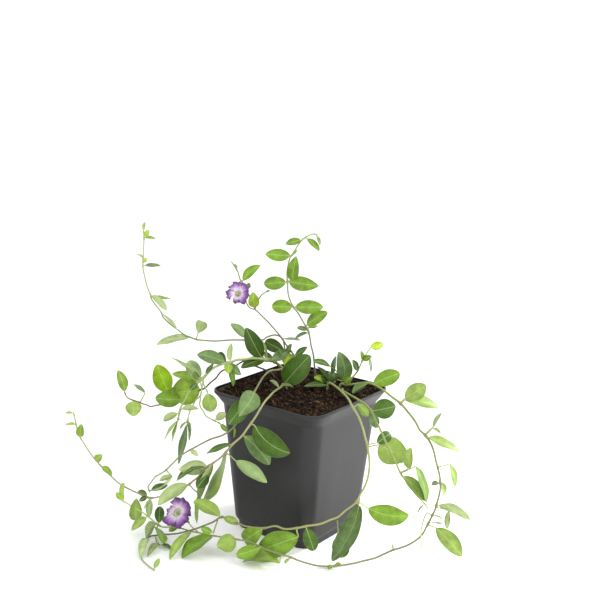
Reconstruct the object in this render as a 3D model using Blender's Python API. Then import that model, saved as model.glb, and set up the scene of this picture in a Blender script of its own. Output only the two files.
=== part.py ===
"""Potted lesser periwinkle (Vinca minor): a square black nursery pot of compost with trailing leafy stems.

Metres, +Z up. The origin is the centre of the pot's flat underside and +X runs along the plant's spread.
Stems and leaves are placed by photograph columns and rows, each with a distance in front of or behind
the pot's axis, because that is how they were read.
"""
import math
import random

import bmesh
import bpy
from mathutils import Vector

MM = 0.001

# Camera that the columns and rows were read through
EYE = Vector((-2.34, -688.69, 320.75)) * MM
TILT = math.radians(13.12)
ROLL = math.radians(1.64)
FOCAL = 1061.0
MIDDLE = 300.0

# Pot
POT_TURN = math.radians(53.45)
POT_TOP = 99.0
RIM_SIDE = 90.0
RIM_BAND = 2.2
RIM_FLARE = 7.3
BODY_SIDE_TOP = 80.2
BODY_SIDE_BOTTOM = 66.8
BODY_BOTTOM = 7.8
FOOT_SIDE = 62.6
FOOT_HEIGHT = 3.8
POT_WALL = 1.6
POT_FLOOR = 2.2
RIM_WALL = 1.5
EDGE_EASE = 0.4
RIM_CORNER = 11.5
BODY_CORNER = 10.5
FOOT_CORNER = 9.0
HOLE_AT = 30.8
HOLE_RADIUS = 3.2
POT_BLACK = (0.018, 0.018, 0.018)

# Soil
SOIL_TOP = 97.2
SOIL_GAP = 0.55
SOIL_BUMP = 0.7
SOIL_SEED = 7
SOIL_EDGE = 2.0
SOIL_BROWN = (0.045, 0.026, 0.018)
STEM_DEPTH = 9.0
STEM_HOLE_GAP = 0.7

# Leaves and stems
BLADE = 0.7
PETIOLE = 0.5
LEAF_SLIM = 0.46
LEAF_BROAD = 0.6
LEAF_FOLD = 0.13
LEAF_ARCH = 0.07
LARGE_LEAF = 20.0
SMALL_LEAF = 8.5
STALKED_FROM = 2.2
LEAST_SEEN = 0.24
LYING_TIP = 1.4
STEM_SIDES = 5
LEAF_GREEN = (0.11, 0.26, 0.05)

# Along a leaf: the share of its length, and the share of its width there
LARGE_OUTLINE = ((0.0, 0.16), (0.22, 0.86), (0.52, 1.0), (0.84, 0.7), (1.0, 0.0))
MIDDLE_OUTLINE = ((0.0, 0.2), (0.32, 0.98), (0.72, 0.88), (1.0, 0.0))
SMALL_OUTLINE = ((0.0, 0.2), (0.45, 1.0), (1.0, 0.0))

# In a leaf's row: a tip that lies on the ground, and which face of the leaf is seen. A last value, where
# there is one, is how far the leaf bows to the right of its way, in picture columns
LIE = None
UPPER = 1
UNDER = -1

# Flowers
LOBES = 5
LOBE_STEPS = 5
PETAL = 0.7
THROAT_DEPTH = 2.2
PETAL_VIOLET = (0.20, 0.05, 0.36)


def clear():
    for item in list(bpy.data.objects):
        bpy.data.objects.remove(item, do_unlink=True)


def ray(col, row):
    right = (col - MIDDLE) / FOCAL
    above = (MIDDLE - row) / FOCAL
    across = right * math.cos(ROLL) - above * math.sin(ROLL)
    up = right * math.sin(ROLL) + above * math.cos(ROLL)
    return Vector((across, math.cos(TILT) + up * math.sin(TILT), up * math.cos(TILT) - math.sin(TILT)))


def seen(col, row, y):
    """The point at a column and row of the photograph, y millimetres behind the pot's axis."""
    way = ray(col, row)
    return EYE + way * ((y * MM - EYE.y) / way.y)


def on_floor(col, row, z):
    """The point at a column and row of the photograph, z millimetres above the ground."""
    way = ray(col, row)
    return EYE + way * ((z * MM - EYE.z) / way.z)


def material(name, colour, rough):
    made = bpy.data.materials.new(name)
    made.use_nodes = True
    shader = made.node_tree.nodes["Principled BSDF"]
    shader.inputs["Base Color"].default_value = (*colour, 1.0)
    shader.inputs["Roughness"].default_value = rough
    return made


def mesh_object(name, points, faces):
    mesh = bpy.data.meshes.new(name)
    mesh.from_pydata([tuple(p) for p in points], [], faces)
    work = bmesh.new()
    work.from_mesh(mesh)
    bmesh.ops.recalc_face_normals(work, faces=work.faces)
    work.to_mesh(mesh)
    work.free()
    made = bpy.data.objects.new(name, mesh)
    bpy.context.scene.collection.objects.link(made)
    return made


def fuse(name, pieces, colour, rough, solver):
    """Joins overlapping closed pieces into one body with a single union."""
    first = pieces[0]
    others = bpy.data.collections.new(name + "_pieces")
    bpy.context.scene.collection.children.link(others)
    for piece in pieces[1:]:
        bpy.context.scene.collection.objects.unlink(piece)
        others.objects.link(piece)
    join = first.modifiers.new("join", "BOOLEAN")
    join.operation = "UNION"
    join.solver = solver
    join.operand_type = "COLLECTION"
    join.collection = others
    apply_modifiers(first)
    for piece in list(others.objects):
        bpy.data.objects.remove(piece, do_unlink=True)
    bpy.data.collections.remove(others)
    first.name = name
    first.data.name = name
    first.data.materials.clear()
    first.data.materials.append(material(name + "_material", colour, rough))
    return first


def apply_modifiers(item):
    graph = bpy.context.evaluated_depsgraph_get()
    made = bpy.data.meshes.new_from_object(item.evaluated_get(graph))
    item.modifiers.clear()
    item.data = made


def frames(points):
    """Side and up directions that follow a path without twisting."""
    made = []
    side = None
    for i, point in enumerate(points):
        before = points[max(i - 1, 0)]
        after = points[min(i + 1, len(points) - 1)]
        way = (after - before).normalized()
        if side is None:
            side = way.orthogonal().normalized()
        side = (side - way * side.dot(way)).normalized()
        made.append((side, way.cross(side)))
    return made


def tube(points, start, end, sides=STEM_SIDES):
    """A closed round rod along the points, narrowing from the first radius to the last, in millimetres."""
    rings = []
    count = len(points)
    for i, (point, (side, up)) in enumerate(zip(points, frames(points))):
        radius = (start + (end - start) * i / (count - 1)) * MM
        for k in range(sides):
            turn = 2 * math.pi * k / sides
            rings.append(point + (side * math.cos(turn) + up * math.sin(turn)) * radius)
    faces = []
    for i in range(count - 1):
        for k in range(sides):
            a = i * sides + k
            b = i * sides + (k + 1) % sides
            faces.append((a, b, b + sides, a + sides))
    faces.append(tuple(range(sides)))
    faces.append(tuple(range((count - 1) * sides, count * sides)))
    return mesh_object("rod", rings, faces)


def nearest(points, place):
    """The closest spot on a path, kept a little back from its end."""
    best = None
    last = points[-1] + (points[-2] - points[-1]).normalized() * MM
    for a, b in zip(points, points[1:-1] + [last]):
        along = (place - a).dot(b - a) / max((b - a).length_squared, 1e-12)
        spot = a.lerp(b, min(max(along, 0.0), 1.0))
        if best is None or (place - spot).length < (place - best).length:
            best = spot
    return best


def stem_depth(points, col, row):
    """The distance behind the pot's axis of the stem where it is seen at a column and row."""
    best = None
    way = ray(col, row).normalized()
    for a, b in zip(points, points[1:]):
        for step in range(5):
            spot = a.lerp(b, step / 4)
            off = (spot - EYE).cross(way).length
            if best is None or off < best[0]:
                best = (off, spot.y / MM)
    return best[1]


def blade(root, base, tip, facing, width, bend):
    """A closed thin leaf from inside the stem to its tip. Both faces have the same triangles."""
    stalked = (root - base).length > STALKED_FROM * MM
    if not stalked:
        base = root
    way = tip - base
    length = way.length
    side = way.cross(facing).normalized()
    flat = length < SMALL_LEAF * MM
    outline = SMALL_OUTLINE if flat else LARGE_OUTLINE if length > LARGE_LEAF * MM else MIDDLE_OUTLINE
    rows = []
    if stalked:
        stalk = (base - root).normalized()
        rows.append((root, PETIOLE * MM, 0.0, *crossways(stalk, facing, side)))
    for s, share in outline:
        half = max(width * 0.5 * share, PETIOLE * MM)
        middle = base + way * s + (facing * (LEAF_ARCH * length) + bend) * (4 * s * (1 - s))
        onward = way + bend * (4 * (1 - 2 * s))
        turned = (onward.cross(facing).normalized(), facing)
        if stalked and s == 0:
            turned = crossways(stalk + onward.normalized(), facing, side)
        rows.append((middle, half, LEAF_FOLD * half * (share > 0.3), *turned))
    points = []
    starts = []
    for i, (middle, half, fold, across, out) in enumerate(rows):
        narrow = half <= PETIOLE * MM or flat or i == 0
        pointed = i == len(rows) - 1 or i == 0 and not stalked
        spread = (0,) if pointed else (-1, 1) if narrow else (-1, 0, 1)
        starts.append((len(points), len(spread)))
        for place in spread:
            spot = middle + across * (half * place) + out * (fold * abs(place))
            points.append(spot + out * (BLADE * 0.5 * MM))
            points.append(spot - out * (BLADE * 0.5 * MM))
    faces = [(0, 2, 3, 1)] if stalked else []
    for (a, many), (b, more) in zip(starts, starts[1:]):
        for face in (0, 1):
            faces += strip([a + 2 * k + face for k in range(many)], [b + 2 * k + face for k in range(more)])
        faces.append((a, b, b + 1, a + 1))
        a += 2 * many - 2
        b += 2 * more - 2
        faces.append((a, a + 1, b + 1, b))
    return mesh_object("blade", points, faces)


def crossways(way, facing, side):
    """Side and facing directions square to a petiole, close to its leaf's own."""
    across = way.cross(facing)
    if across.length < 0.35 * way.length:
        across = side - way * (side.dot(way) / max(way.length_squared, 1e-9))
    across.normalize()
    return across, across.cross(way).normalized()


def strip(low, high):
    """Triangles between two rows of one to three points, the same for both faces of a leaf."""
    if len(low) == 1:
        return [(low[0], high[k + 1], high[k]) for k in range(len(high) - 1)]
    if len(low) == 3 and len(high) == 3:
        return strip(low[:2], high[:2]) + strip(low[1:], high[1:])
    if len(low) == 3:
        return [(low[0], low[1], high[0]), (low[1], low[2], high[-1])] + (
            [(low[1], high[1], high[0])] if len(high) == 2 else [])
    if len(high) == 3:
        return [(low[0], high[1], high[0]), (low[0], low[1], high[1]), (low[1], high[2], high[1])]
    if len(high) == 1:
        return [(low[0], low[1], high[0])]
    return [(low[0], low[1], high[1]), (low[0], high[1], high[0])]


def leaf(points, row):
    """One leaf of a stem. Its seen width against a true leaf's sets how far it is rolled from the eye."""
    base_col, base_row, tip_col, tip_row, wide, deeper, face, *bow = row
    y = stem_depth(points, base_col, base_row)
    base = seen(base_col, base_row, y)
    if deeper is LIE:
        tip = on_floor(tip_col, tip_row, LYING_TIP)
    else:
        tip = seen(tip_col, tip_row, y + deeper)
    root = nearest(points, base)
    root += (root - base) * min(0.3 * MM / max((root - base).length, 1e-6), 0.3)
    way = (tip - base).normalized()
    to_eye = (EYE - (base + tip) * 0.5).normalized()
    facing = (to_eye - way * to_eye.dot(way)).normalized()
    across = way.cross(facing)
    length = (tip - base).length
    pixel = (base - EYE).length / FOCAL
    seen_width = wide * pixel
    bend = way.cross(to_eye).normalized() * (sum(bow) * pixel)
    if deeper is LIE:
        level = (Vector((0, 0, 1)) - way * way.z).normalized()
        width = seen_width * (way - to_eye * way.dot(to_eye)).length / abs(level.dot(to_eye))
        return blade(root, base, tip, level, min(width, LEAF_BROAD * length), bend)
    width = max(seen_width, LEAF_SLIM * length)
    roll = math.acos(max(seen_width / width, LEAST_SEEN))
    choices = [facing * math.cos(roll) + across * (math.sin(roll) * sign) for sign in (1, -1)]
    facing = max(choices, key=lambda way: way.z * face)
    return blade(root, base, tip, facing * face, width, bend)


def path(rows, x, y):
    """Stem points: straight up out of the soil, then through columns, rows and depths."""
    foot = [Vector((x, y, SOIL_TOP - STEM_DEPTH)) * MM, Vector((x, y, SOIL_TOP + 2.0)) * MM]
    return foot + [seen(*row) for row in rows]


def superellipse(half, radius, z, steps=3):
    """A square outline with rounded corners, turned with the pot."""
    made = []
    for quarter in range(4):
        cx = (half - radius) * (1, -1, -1, 1)[quarter]
        cy = (half - radius) * (1, 1, -1, -1)[quarter]
        for i in range(steps + 1):
            turn = math.radians(90 * quarter + 90 * i / steps)
            x = cx + radius * math.cos(turn)
            y = cy + radius * math.sin(turn)
            made.append(Vector((x * math.cos(POT_TURN) - y * math.sin(POT_TURN),
                                x * math.sin(POT_TURN) + y * math.cos(POT_TURN), z)) * MM)
    return made


def loft(name, rings):
    """A closed body through rings of equal counts, capped at both ends."""
    count = len(rings[0])
    points = [p for ring in rings for p in ring]
    faces = [tuple(range(count)), tuple(range((len(rings) - 1) * count, len(rings) * count))]
    for i in range(len(rings) - 1):
        for k in range(count):
            a = i * count + k
            b = i * count + (k + 1) % count
            faces.append((a, b, b + count, a + count))
    return mesh_object(name, points, faces)


def cut(item, cutters):
    """Takes a group of helper bodies out of an object."""
    group = bpy.data.collections.new("cutters")
    bpy.context.scene.collection.children.link(group)
    for cutter in cutters:
        cutter.hide_render = True
        cutter.display_type = "WIRE"
        bpy.context.scene.collection.objects.unlink(cutter)
        group.objects.link(cutter)
    take = item.modifiers.new("cut", "BOOLEAN")
    take.operation = "DIFFERENCE"
    take.solver = "EXACT"
    take.operand_type = "COLLECTION"
    take.collection = group
    apply_modifiers(item)
    for cutter in list(group.objects):
        bpy.data.objects.remove(cutter, do_unlink=True)
    bpy.data.collections.remove(group)


def pot():
    flare_foot = POT_TOP - RIM_BAND - RIM_FLARE
    outside = [
        superellipse(FOOT_SIDE / 2, FOOT_CORNER, 0.0),
        superellipse(FOOT_SIDE / 2, FOOT_CORNER, FOOT_HEIGHT),
        superellipse(BODY_SIDE_BOTTOM / 2, BODY_CORNER - 1, BODY_BOTTOM),
        superellipse(BODY_SIDE_TOP / 2, BODY_CORNER, flare_foot),
        superellipse(RIM_SIDE / 2 - EDGE_EASE, RIM_CORNER, POT_TOP - RIM_BAND),
        superellipse(RIM_SIDE / 2, RIM_CORNER, POT_TOP - RIM_BAND + EDGE_EASE),
        superellipse(RIM_SIDE / 2, RIM_CORNER, POT_TOP - EDGE_EASE),
        superellipse(RIM_SIDE / 2 - EDGE_EASE, RIM_CORNER, POT_TOP),
    ]
    wall = POT_WALL
    inside = [
        superellipse(RIM_SIDE / 2 - RIM_WALL, RIM_CORNER - 1, POT_TOP + 1.0),
        superellipse(RIM_SIDE / 2 - wall, RIM_CORNER - 1, POT_TOP - RIM_BAND / 2),
        superellipse(BODY_SIDE_TOP / 2 - wall, BODY_CORNER - 1, flare_foot - wall / 2),
        superellipse(BODY_SIDE_BOTTOM / 2 - wall, BODY_CORNER - 2, BODY_BOTTOM + 1.0),
        superellipse(FOOT_SIDE / 2 - wall, FOOT_CORNER - 1, FOOT_HEIGHT + 0.6),
        superellipse(FOOT_SIDE / 2 - wall, FOOT_CORNER - 1, POT_FLOOR),
    ]
    body = loft("pot", outside)
    cutters = [loft("hollow", inside)]
    for quarter in range(4):
        turn = POT_TURN + math.radians(45 + 90 * quarter)
        spot = Vector((math.cos(turn), math.sin(turn), 0.0)) * HOLE_AT * MM
        down = spot + Vector((0, 0, -2 * MM))
        top = spot + Vector((0, 0, (POT_FLOOR + 1.5) * MM))
        cutters.append(tube([down, top], HOLE_RADIUS, HOLE_RADIUS, 10))
    cut(body, cutters)
    body.data.materials.clear()
    body.data.materials.append(material("pot_material", POT_BLACK, 0.45))
    return body


def soil(bases):
    """Compost filling the pot, its top slightly rough, with a plain hole for each stem."""
    draw = random.Random(SOIL_SEED)
    wall = POT_WALL + SOIL_GAP
    flare_foot = POT_TOP - RIM_BAND - RIM_FLARE
    lean = (SOIL_TOP - SOIL_EDGE - flare_foot) / RIM_FLARE
    top_half = BODY_SIDE_TOP / 2 + (RIM_SIDE - BODY_SIDE_TOP) / 2 * lean - wall - 0.5
    rings = [
        superellipse(FOOT_SIDE / 2 - wall, FOOT_CORNER - 1.5, POT_FLOOR + SOIL_GAP),
        superellipse(FOOT_SIDE / 2 - wall, FOOT_CORNER - 1.5, FOOT_HEIGHT + 0.4),
        superellipse(BODY_SIDE_BOTTOM / 2 - wall, BODY_CORNER - 2.5, BODY_BOTTOM + 1.4),
        superellipse(BODY_SIDE_TOP / 2 - wall, BODY_CORNER - 1.5, flare_foot - 1.0),
        superellipse(top_half, BODY_CORNER - 1.0, SOIL_TOP - SOIL_EDGE),
        superellipse(top_half - 0.5, BODY_CORNER - 1.0, SOIL_TOP),
    ]
    for share in (0.72, 0.42):
        ring = superellipse(top_half * share, RIM_CORNER * share, SOIL_TOP)
        for point in ring:
            point.z += draw.uniform(-SOIL_BUMP, SOIL_BUMP) * MM
        rings.append(ring)
    body = loft("soil", rings)
    work = bmesh.new()
    work.from_mesh(body.data)
    bmesh.ops.triangulate(work, faces=[f for f in work.faces if len(f.verts) > 4])
    work.to_mesh(body.data)
    work.free()
    cutters = []
    for x, y, radius in bases:
        low = Vector((x, y, SOIL_TOP - STEM_DEPTH - STEM_HOLE_GAP)) * MM
        high = Vector((x, y, SOIL_TOP + 4.0)) * MM
        around = radius + STEM_HOLE_GAP
        cutters.append(tube([low, high], around, around, 6))
    cut(body, cutters)
    body.data.materials.clear()
    body.data.materials.append(material("soil_material", SOIL_BROWN, 0.95))
    return body


# Where each stem leaves the soil: x, y and the stem's radius there, in millimetres
ROOTS = {
    "upper_left_runner": (-6.0, 34.0, 0.6),
    "upright_stem": (10.5, 16.0, 0.65),
    "flowering_stem": (-2.0, 22.0, 0.65),
    "left_arching_stem": (-12.0, 25.0, 1.15),
    "dark_left_stem": (-20.0, 28.0, 0.65),
    "left_rim_runner": (-11.0, 14.0, 0.75),
    "front_left_runner": (-10.0, 5.0, 1.2),
    "front_runner": (18.0, 3.5, 1.1),
    "long_runner": (27.0, 9.0, 0.8),
    "inner_right_stem": (28.0, -3.0, 0.8),
    "crown_shoot": (22.0, 14.5, 0.8),
    "right_young_shoot": (34.0, 16.0, 0.65),
}


def spray(name, main, leaves, thin, branches=(), extra=(), solver="EXACT"):
    """One leafy stem: its main rod, side branches with leaves of their own, and the leaves it carries."""
    x, y, radius = ROOTS[name]
    points = path(main, x, y)
    pieces = [tube(points, radius, thin)]
    pieces += [leaf(points, row) for row in leaves]
    for rod, start, end, own in branches:
        pieces.append(tube(rod, start, end, 4))
        pieces += [leaf(rod, row) for row in own]
    pieces += list(extra)
    return fuse(name, pieces, LEAF_GREEN, 0.5, solver)


def upper_left_runner():
    main = [
        (286, 356, 34), (283, 340, 33), (276, 335, 33), (267, 337, 32), (262, 340, 31), (244, 340, 27),
        (230, 340, 23), (215, 341, 19), (200, 340, 15), (195, 339, 14), (185, 335, 12), (178, 330, 10),
        (170, 324, 9), (163, 317, 8), (161, 312, 7), (152, 300, 5), (150.5, 295, 4), (147, 286, 3),
        (145, 278, 2), (143, 268, 1), (143, 261, 1), (143.5, 250, 0), (144, 238, -1), (143.5, 230, -2)]
    leaves = [
        (144, 231, 145, 222, 3, 1, UPPER),
        (144, 238, 149, 230, 5, -3, UPPER),
        (144, 238, 156, 238, 3, 3, UPPER),
        (143, 258, 137, 254, 2.5, 2, UPPER),
        (143, 262, 147, 258, 4, -3, UPPER),
        (143, 266, 161, 265, 4, 3, UPPER),
        (151, 297, 171, 299, 3, 4, UPPER),
        (152, 294, 168, 310, 7, -4, UNDER),
        (162, 313, 179, 330, 3, -3, UNDER),
        (198, 333, 203, 321, 12, -7, UNDER),
        (190, 338, 156, 343, 7, -4, UPPER),
        (246, 337, 230.5, 323.5, 6, 4, UNDER)]
    return spray("upper_left_runner", main, leaves, 0.38)


def upright_stem():
    main = [
        (315, 372, 14), (314, 360, 13), (313, 353, 12), (311, 345, 12), (310, 338, 11), (308, 330, 10),
        (305, 325, 10), (298, 313, 8), (294, 308, 8), (290, 300, 8), (288, 292, 7), (287.5, 282, 6),
        (287, 274, 6), (288, 266, 5), (290, 258, 5), (293, 254, 5), (297, 247, 4), (302, 240, 4),
        (308, 236, 4), (313, 234, 3), (318, 235, 3)]
    leaves = [
        (302, 239.5, 285.5, 244, 7.5, -4, UPPER),
        (306, 238, 319.5, 250.5, 6, -5, UPPER),
        (316, 235, 320, 245, 3, -3, UPPER),
        (293, 254, 297, 250, 3, -2, UPPER),
        (290, 254, 265.5, 254, 12.5, -4, UPPER),
        (292, 281, 296, 256.5, 12.5, -6, UPPER),
        (288, 282, 264, 283.5, 13.5, -2, UPPER),
        (290, 281, 318.5, 286, 14.5, -5, UPPER),
        (294, 307, 272, 306, 14, -3, UPPER),
        (296, 306, 323, 307, 14, -5, UPPER),
        (306, 326, 327, 312, 12, -4, UPPER),
        (308, 328, 318, 326, 4, 5, UPPER),
        (307, 331, 297, 327, 5, 4, UPPER),
        (308, 333, 294, 338, 4, 5, UPPER)]
    return spray("upright_stem", main, leaves, 0.42)


def flowering_stem():
    main = [
        (297, 372, 20), (294, 356, 17), (289, 349, 15), (285, 343, 14), (281, 337, 13), (276, 331, 11),
        (270, 324, 9), (263, 317, 7), (257, 311, 5), (255, 309, 5), (251, 299, 4), (245, 287, 3),
        (243, 283, 3), (240, 279, 2), (238, 272, 2), (235, 267, 1), (231, 261, 1)]
    leaves = [
        (255, 308, 253, 293, 11, -7, UPPER),
        (244, 280, 260, 265, 9, -4, UPPER),
        (245, 286, 251, 285, 5, -5, UNDER),
        (237, 270, 234, 264, 3, -2, UPPER),
        (283, 350, 267, 342, 10, 4, UPPER),
        (293, 354, 307, 347, 5, -4, UPPER),
        (289, 351, 271, 360, 9, -7, UPPER),
        (291, 367, 288, 353, 14, -6, UPPER),
        (283, 338, 300, 340, 3, -9, UPPER)]
    spent = [seen(255, 309, 5), seen(260, 297, 2), seen(266, 292, 1), seen(269, 290.5, 1)]
    pedicel = [seen(255, 309.5, 5), seen(250, 308, 3), seen(247, 304, 1), seen(245.5, 301, 0)]
    calyx = [seen(246.5, 302.5, 0.5), seen(245.5, 301, 0), seen(243.2, 298.5, -2)]
    branches = [(spent, 0.45, 0.42, []), (pedicel, 0.45, 0.42, [])]
    extra = [tube(calyx, 0.6, 1.3, 6), tube([seen(266, 292, 1), seen(270, 290, 1)], 0.9, 0.8, 5)]
    return spray("flowering_stem", main, leaves, 0.42, branches, extra, "MANIFOLD")


def left_arching_stem():
    main = [
        (284, 371, 23), (280, 366, 20), (275, 362, 16), (268, 360, 12), (258, 358.5, 8), (250, 358.5, 5),
        (243, 359.5, 2), (236, 360, 0), (228, 364, -3), (223, 364, -4), (217, 366, -5), (212, 369, -7),
        (208, 373, -8), (203, 378, -9), (197, 383, -10), (192, 389, -11), (188, 394, -12),
        (185, 400, -13), (181, 407, -14), (179, 414, -15), (178, 421, -15)]
    leaves = [
        (263, 357, 246, 328, 15, -2, UPPER),
        (266, 362, 241, 367, 10, -7, UPPER),
        (268, 357, 262, 340, 3, 4, UNDER),
        (267, 357, 254, 356, 3, 5, UPPER),
        (229, 364, 228.5, 373, 9, -10, UPPER),
        (228, 367, 234, 386, 6, -4, UPPER),
        (229, 366, 241, 375, 9, -8, UPPER),
        (230, 361, 231, 343, 6, 2, UNDER),
        (228, 362, 197, 353, 13, 4, UPPER),
        (227, 361, 218, 352, 9, 7, UPPER),
        (205, 376, 214, 363, 4, 4, UPPER),
        (202, 378, 172, 356, 5, -4, UNDER),
        (200, 377, 188, 361, 14, 4, UPPER),
        (199, 380, 194, 372, 6, -4, UNDER),
        (198, 383, 190, 390, 6, -5, UPPER),
        (180, 413, 163, 421, 7.5, -4, UNDER),
        (181, 410, 199, 408, 6, -4, UNDER),
        (178, 420, 164, 440, 3, -2, UPPER),
        (178, 420, 172, 442, 3, -5, UPPER)]
    stalk = [seen(203, 378, -9), seen(204, 385, -11), seen(208, 393, -14)]
    side = [
        seen(203, 378, -9), seen(202, 388, -13), seen(200, 401, -15), seen(200, 406, -16),
        seen(203, 411, -17), seen(206, 416, -18), seen(211, 419, -18), seen(217, 422, -18),
        seen(221, 424, -18)]
    hanging = [
        seen(202, 388, -13), seen(200, 396, -13), seen(196, 400, -14), seen(192, 407, -15),
        seen(189, 414, -16), seen(187, 424, -17)]
    branches = [
        (stalk, 0.5, 0.45, [(208, 392, 212, 412, 15, -4, UPPER)]),
        (side, 0.5, 0.42, [(214, 421, 226, 413, 8, -4, UNDER), (220, 423, 227, 432, 5, -2, UPPER)]),
        (hanging, 0.5, 0.42, [
            (187, 423, 176, 464, 4.5, -4, UPPER, -3), (187.5, 422, 190, 441, 3, -2, UPPER),
            (188, 421, 191.5, 433, 2.5, 3, UPPER), (188, 421, 179, 429, 2.5, -3, UNDER)])]
    return spray("left_arching_stem", main, leaves, 0.6, branches, (), "MANIFOLD")


def dark_left_stem():
    main = [
        (250, 364, 31), (245, 361, 29), (240, 363, 27), (235, 366, 24), (222, 371, 18), (216, 378, 14),
        (210, 383, 10), (205, 388, 8), (200, 390, 6), (195, 394, 5), (189, 397, 4), (180, 401, 2),
        (170, 404, 0), (158, 405, -2), (151, 406.5, -3), (147, 405, -4), (142, 403.5, -5),
        (139, 402, -5), (128, 398, -5), (124, 391, -5)]
    leaves = [
        (125, 393, 118.5, 370, 10, 4, UPPER),
        (133, 399, 134, 416.5, 16, -6, UPPER),
        (145, 393, 134, 384, 4, 3, UPPER),
        (168, 392, 157, 365, 19, -2, UPPER),
        (200, 382, 172, 373, 10, 5, UPPER),
        (201, 387, 171, 393, 27, -3, UPPER),
        (184, 402, 155.5, 398, 16, -5, UPPER),
        (172, 399, 165, 385, 13, 5, UPPER)]
    return spray("dark_left_stem", main, leaves, 0.42)


def left_rim_runner():
    main = [
        (283, 370, 11), (277, 370, 5), (270, 371, -4), (264, 376, -14), (260, 382, -24), (256, 389, -33),
        (249, 401, -43), (241, 415, -47), (233, 428, -47), (223, 435, -46), (211, 439, -43),
        (201, 444, -41), (190, 450, -39), (183, 454, -38), (178, 458, -37), (171, 465, -35),
        (166, 470, -33), (160, 474, -31), (155, 477, -29), (152, 481, -26), (148, 487, -22),
        (150, 492, -18)]
    leaves = [
        (256, 391, 240, 415, 20, -11, UPPER),
        (250.5, 399.5, 229, 424, 18, -8, UPPER),
        (234, 426, 234, 438, 2.5, -3, UPPER),
        (190, 450, 198, 456, 5, -4, UPPER),
        (172, 476.5, 159, 480.5, 5.5, -3, UNDER),
        (151, 490.5, 172, 475.5, 3, 4, UPPER, 4),
        (150, 491, 168, 485, 7, 3, UNDER)]
    return spray("left_rim_runner", main, leaves, 0.42)


def front_left_runner():
    main = [
        (284, 384, 2), (281, 387, -3), (275, 391, -14), (270, 396, -25), (265, 401.5, -37),
        (260, 409, -48), (256, 416, -50.5), (252, 422, -51.5), (247, 429, -52), (242, 436, -51.5),
        (233, 444, -50), (226, 452, -49), (220, 458, -47), (213, 463, -45), (208, 466, -44),
        (203, 472, -43), (197, 478, -41), (193, 481, -40), (188, 485, -38), (178, 490, -35),
        (165, 495, -31), (151, 498, -28), (140, 494, -26), (131, 490, -25), (120, 484, -23),
        (113, 478, -22), (106, 471, -21), (100, 465, -20), (93, 457, -18), (88, 450, -17), (85, 445, -16),
        (81, 439, -15), (78, 432, -14), (76, 424, -13), (73.5, 412, -12)]
    leaves = [
        (284, 385, 309, 356, 24, -6, UPPER),
        (279, 387, 270, 380, 4, 3, UNDER),
        (283, 386, 294, 387, 4, -6, UNDER),
        (256, 421, 290, 452, 20, -8, UPPER),
        (246, 432, 270, 464, 16, -2, UPPER),
        (234, 456, 268, 481.5, 13, -4, UNDER, 6),
        (229, 453, 200.5, 499, 12, 12, UPPER, -9),
        (232, 444, 206, 453.5, 6, 3, UPPER),
        (214, 464, 199, 499.5, 8, 6, UNDER),
        (208, 475, 197, 488, 12, -7, UPPER),
        (206, 464.5, 179, 469.5, 15, 4, UNDER),
        (207, 467, 190, 469, 3, -5, UPPER),
        (196, 468, 175.5, 480, 6.5, 3, UPPER),
        (190, 484, 157, 504, 13, -6, UNDER),
        (200, 495, 196, 524, 5, -1, UPPER),
        (73.5, 413, 65, 413, 2.5, -2, UPPER),
        (76, 424.5, 64.5, 424, 3, 3, UPPER),
        (80, 438, 81.5, 424, 8, -4, UPPER),
        (95, 460, 102, 455, 8, -6, UPPER),
        (101, 465, 112, 476, 6, -4, UPPER),
        (148, 497, 138, 491, 6, 5, UPPER),
        (147, 497, 139, 501, 5, -5, UPPER),
        (152, 500, 149, 517, 7, -4, UPPER),
        (151, 499, 143, 510, 2, -2, UPPER)]
    return spray("front_left_runner", main, leaves, 0.4, solver="MANIFOLD")


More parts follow.
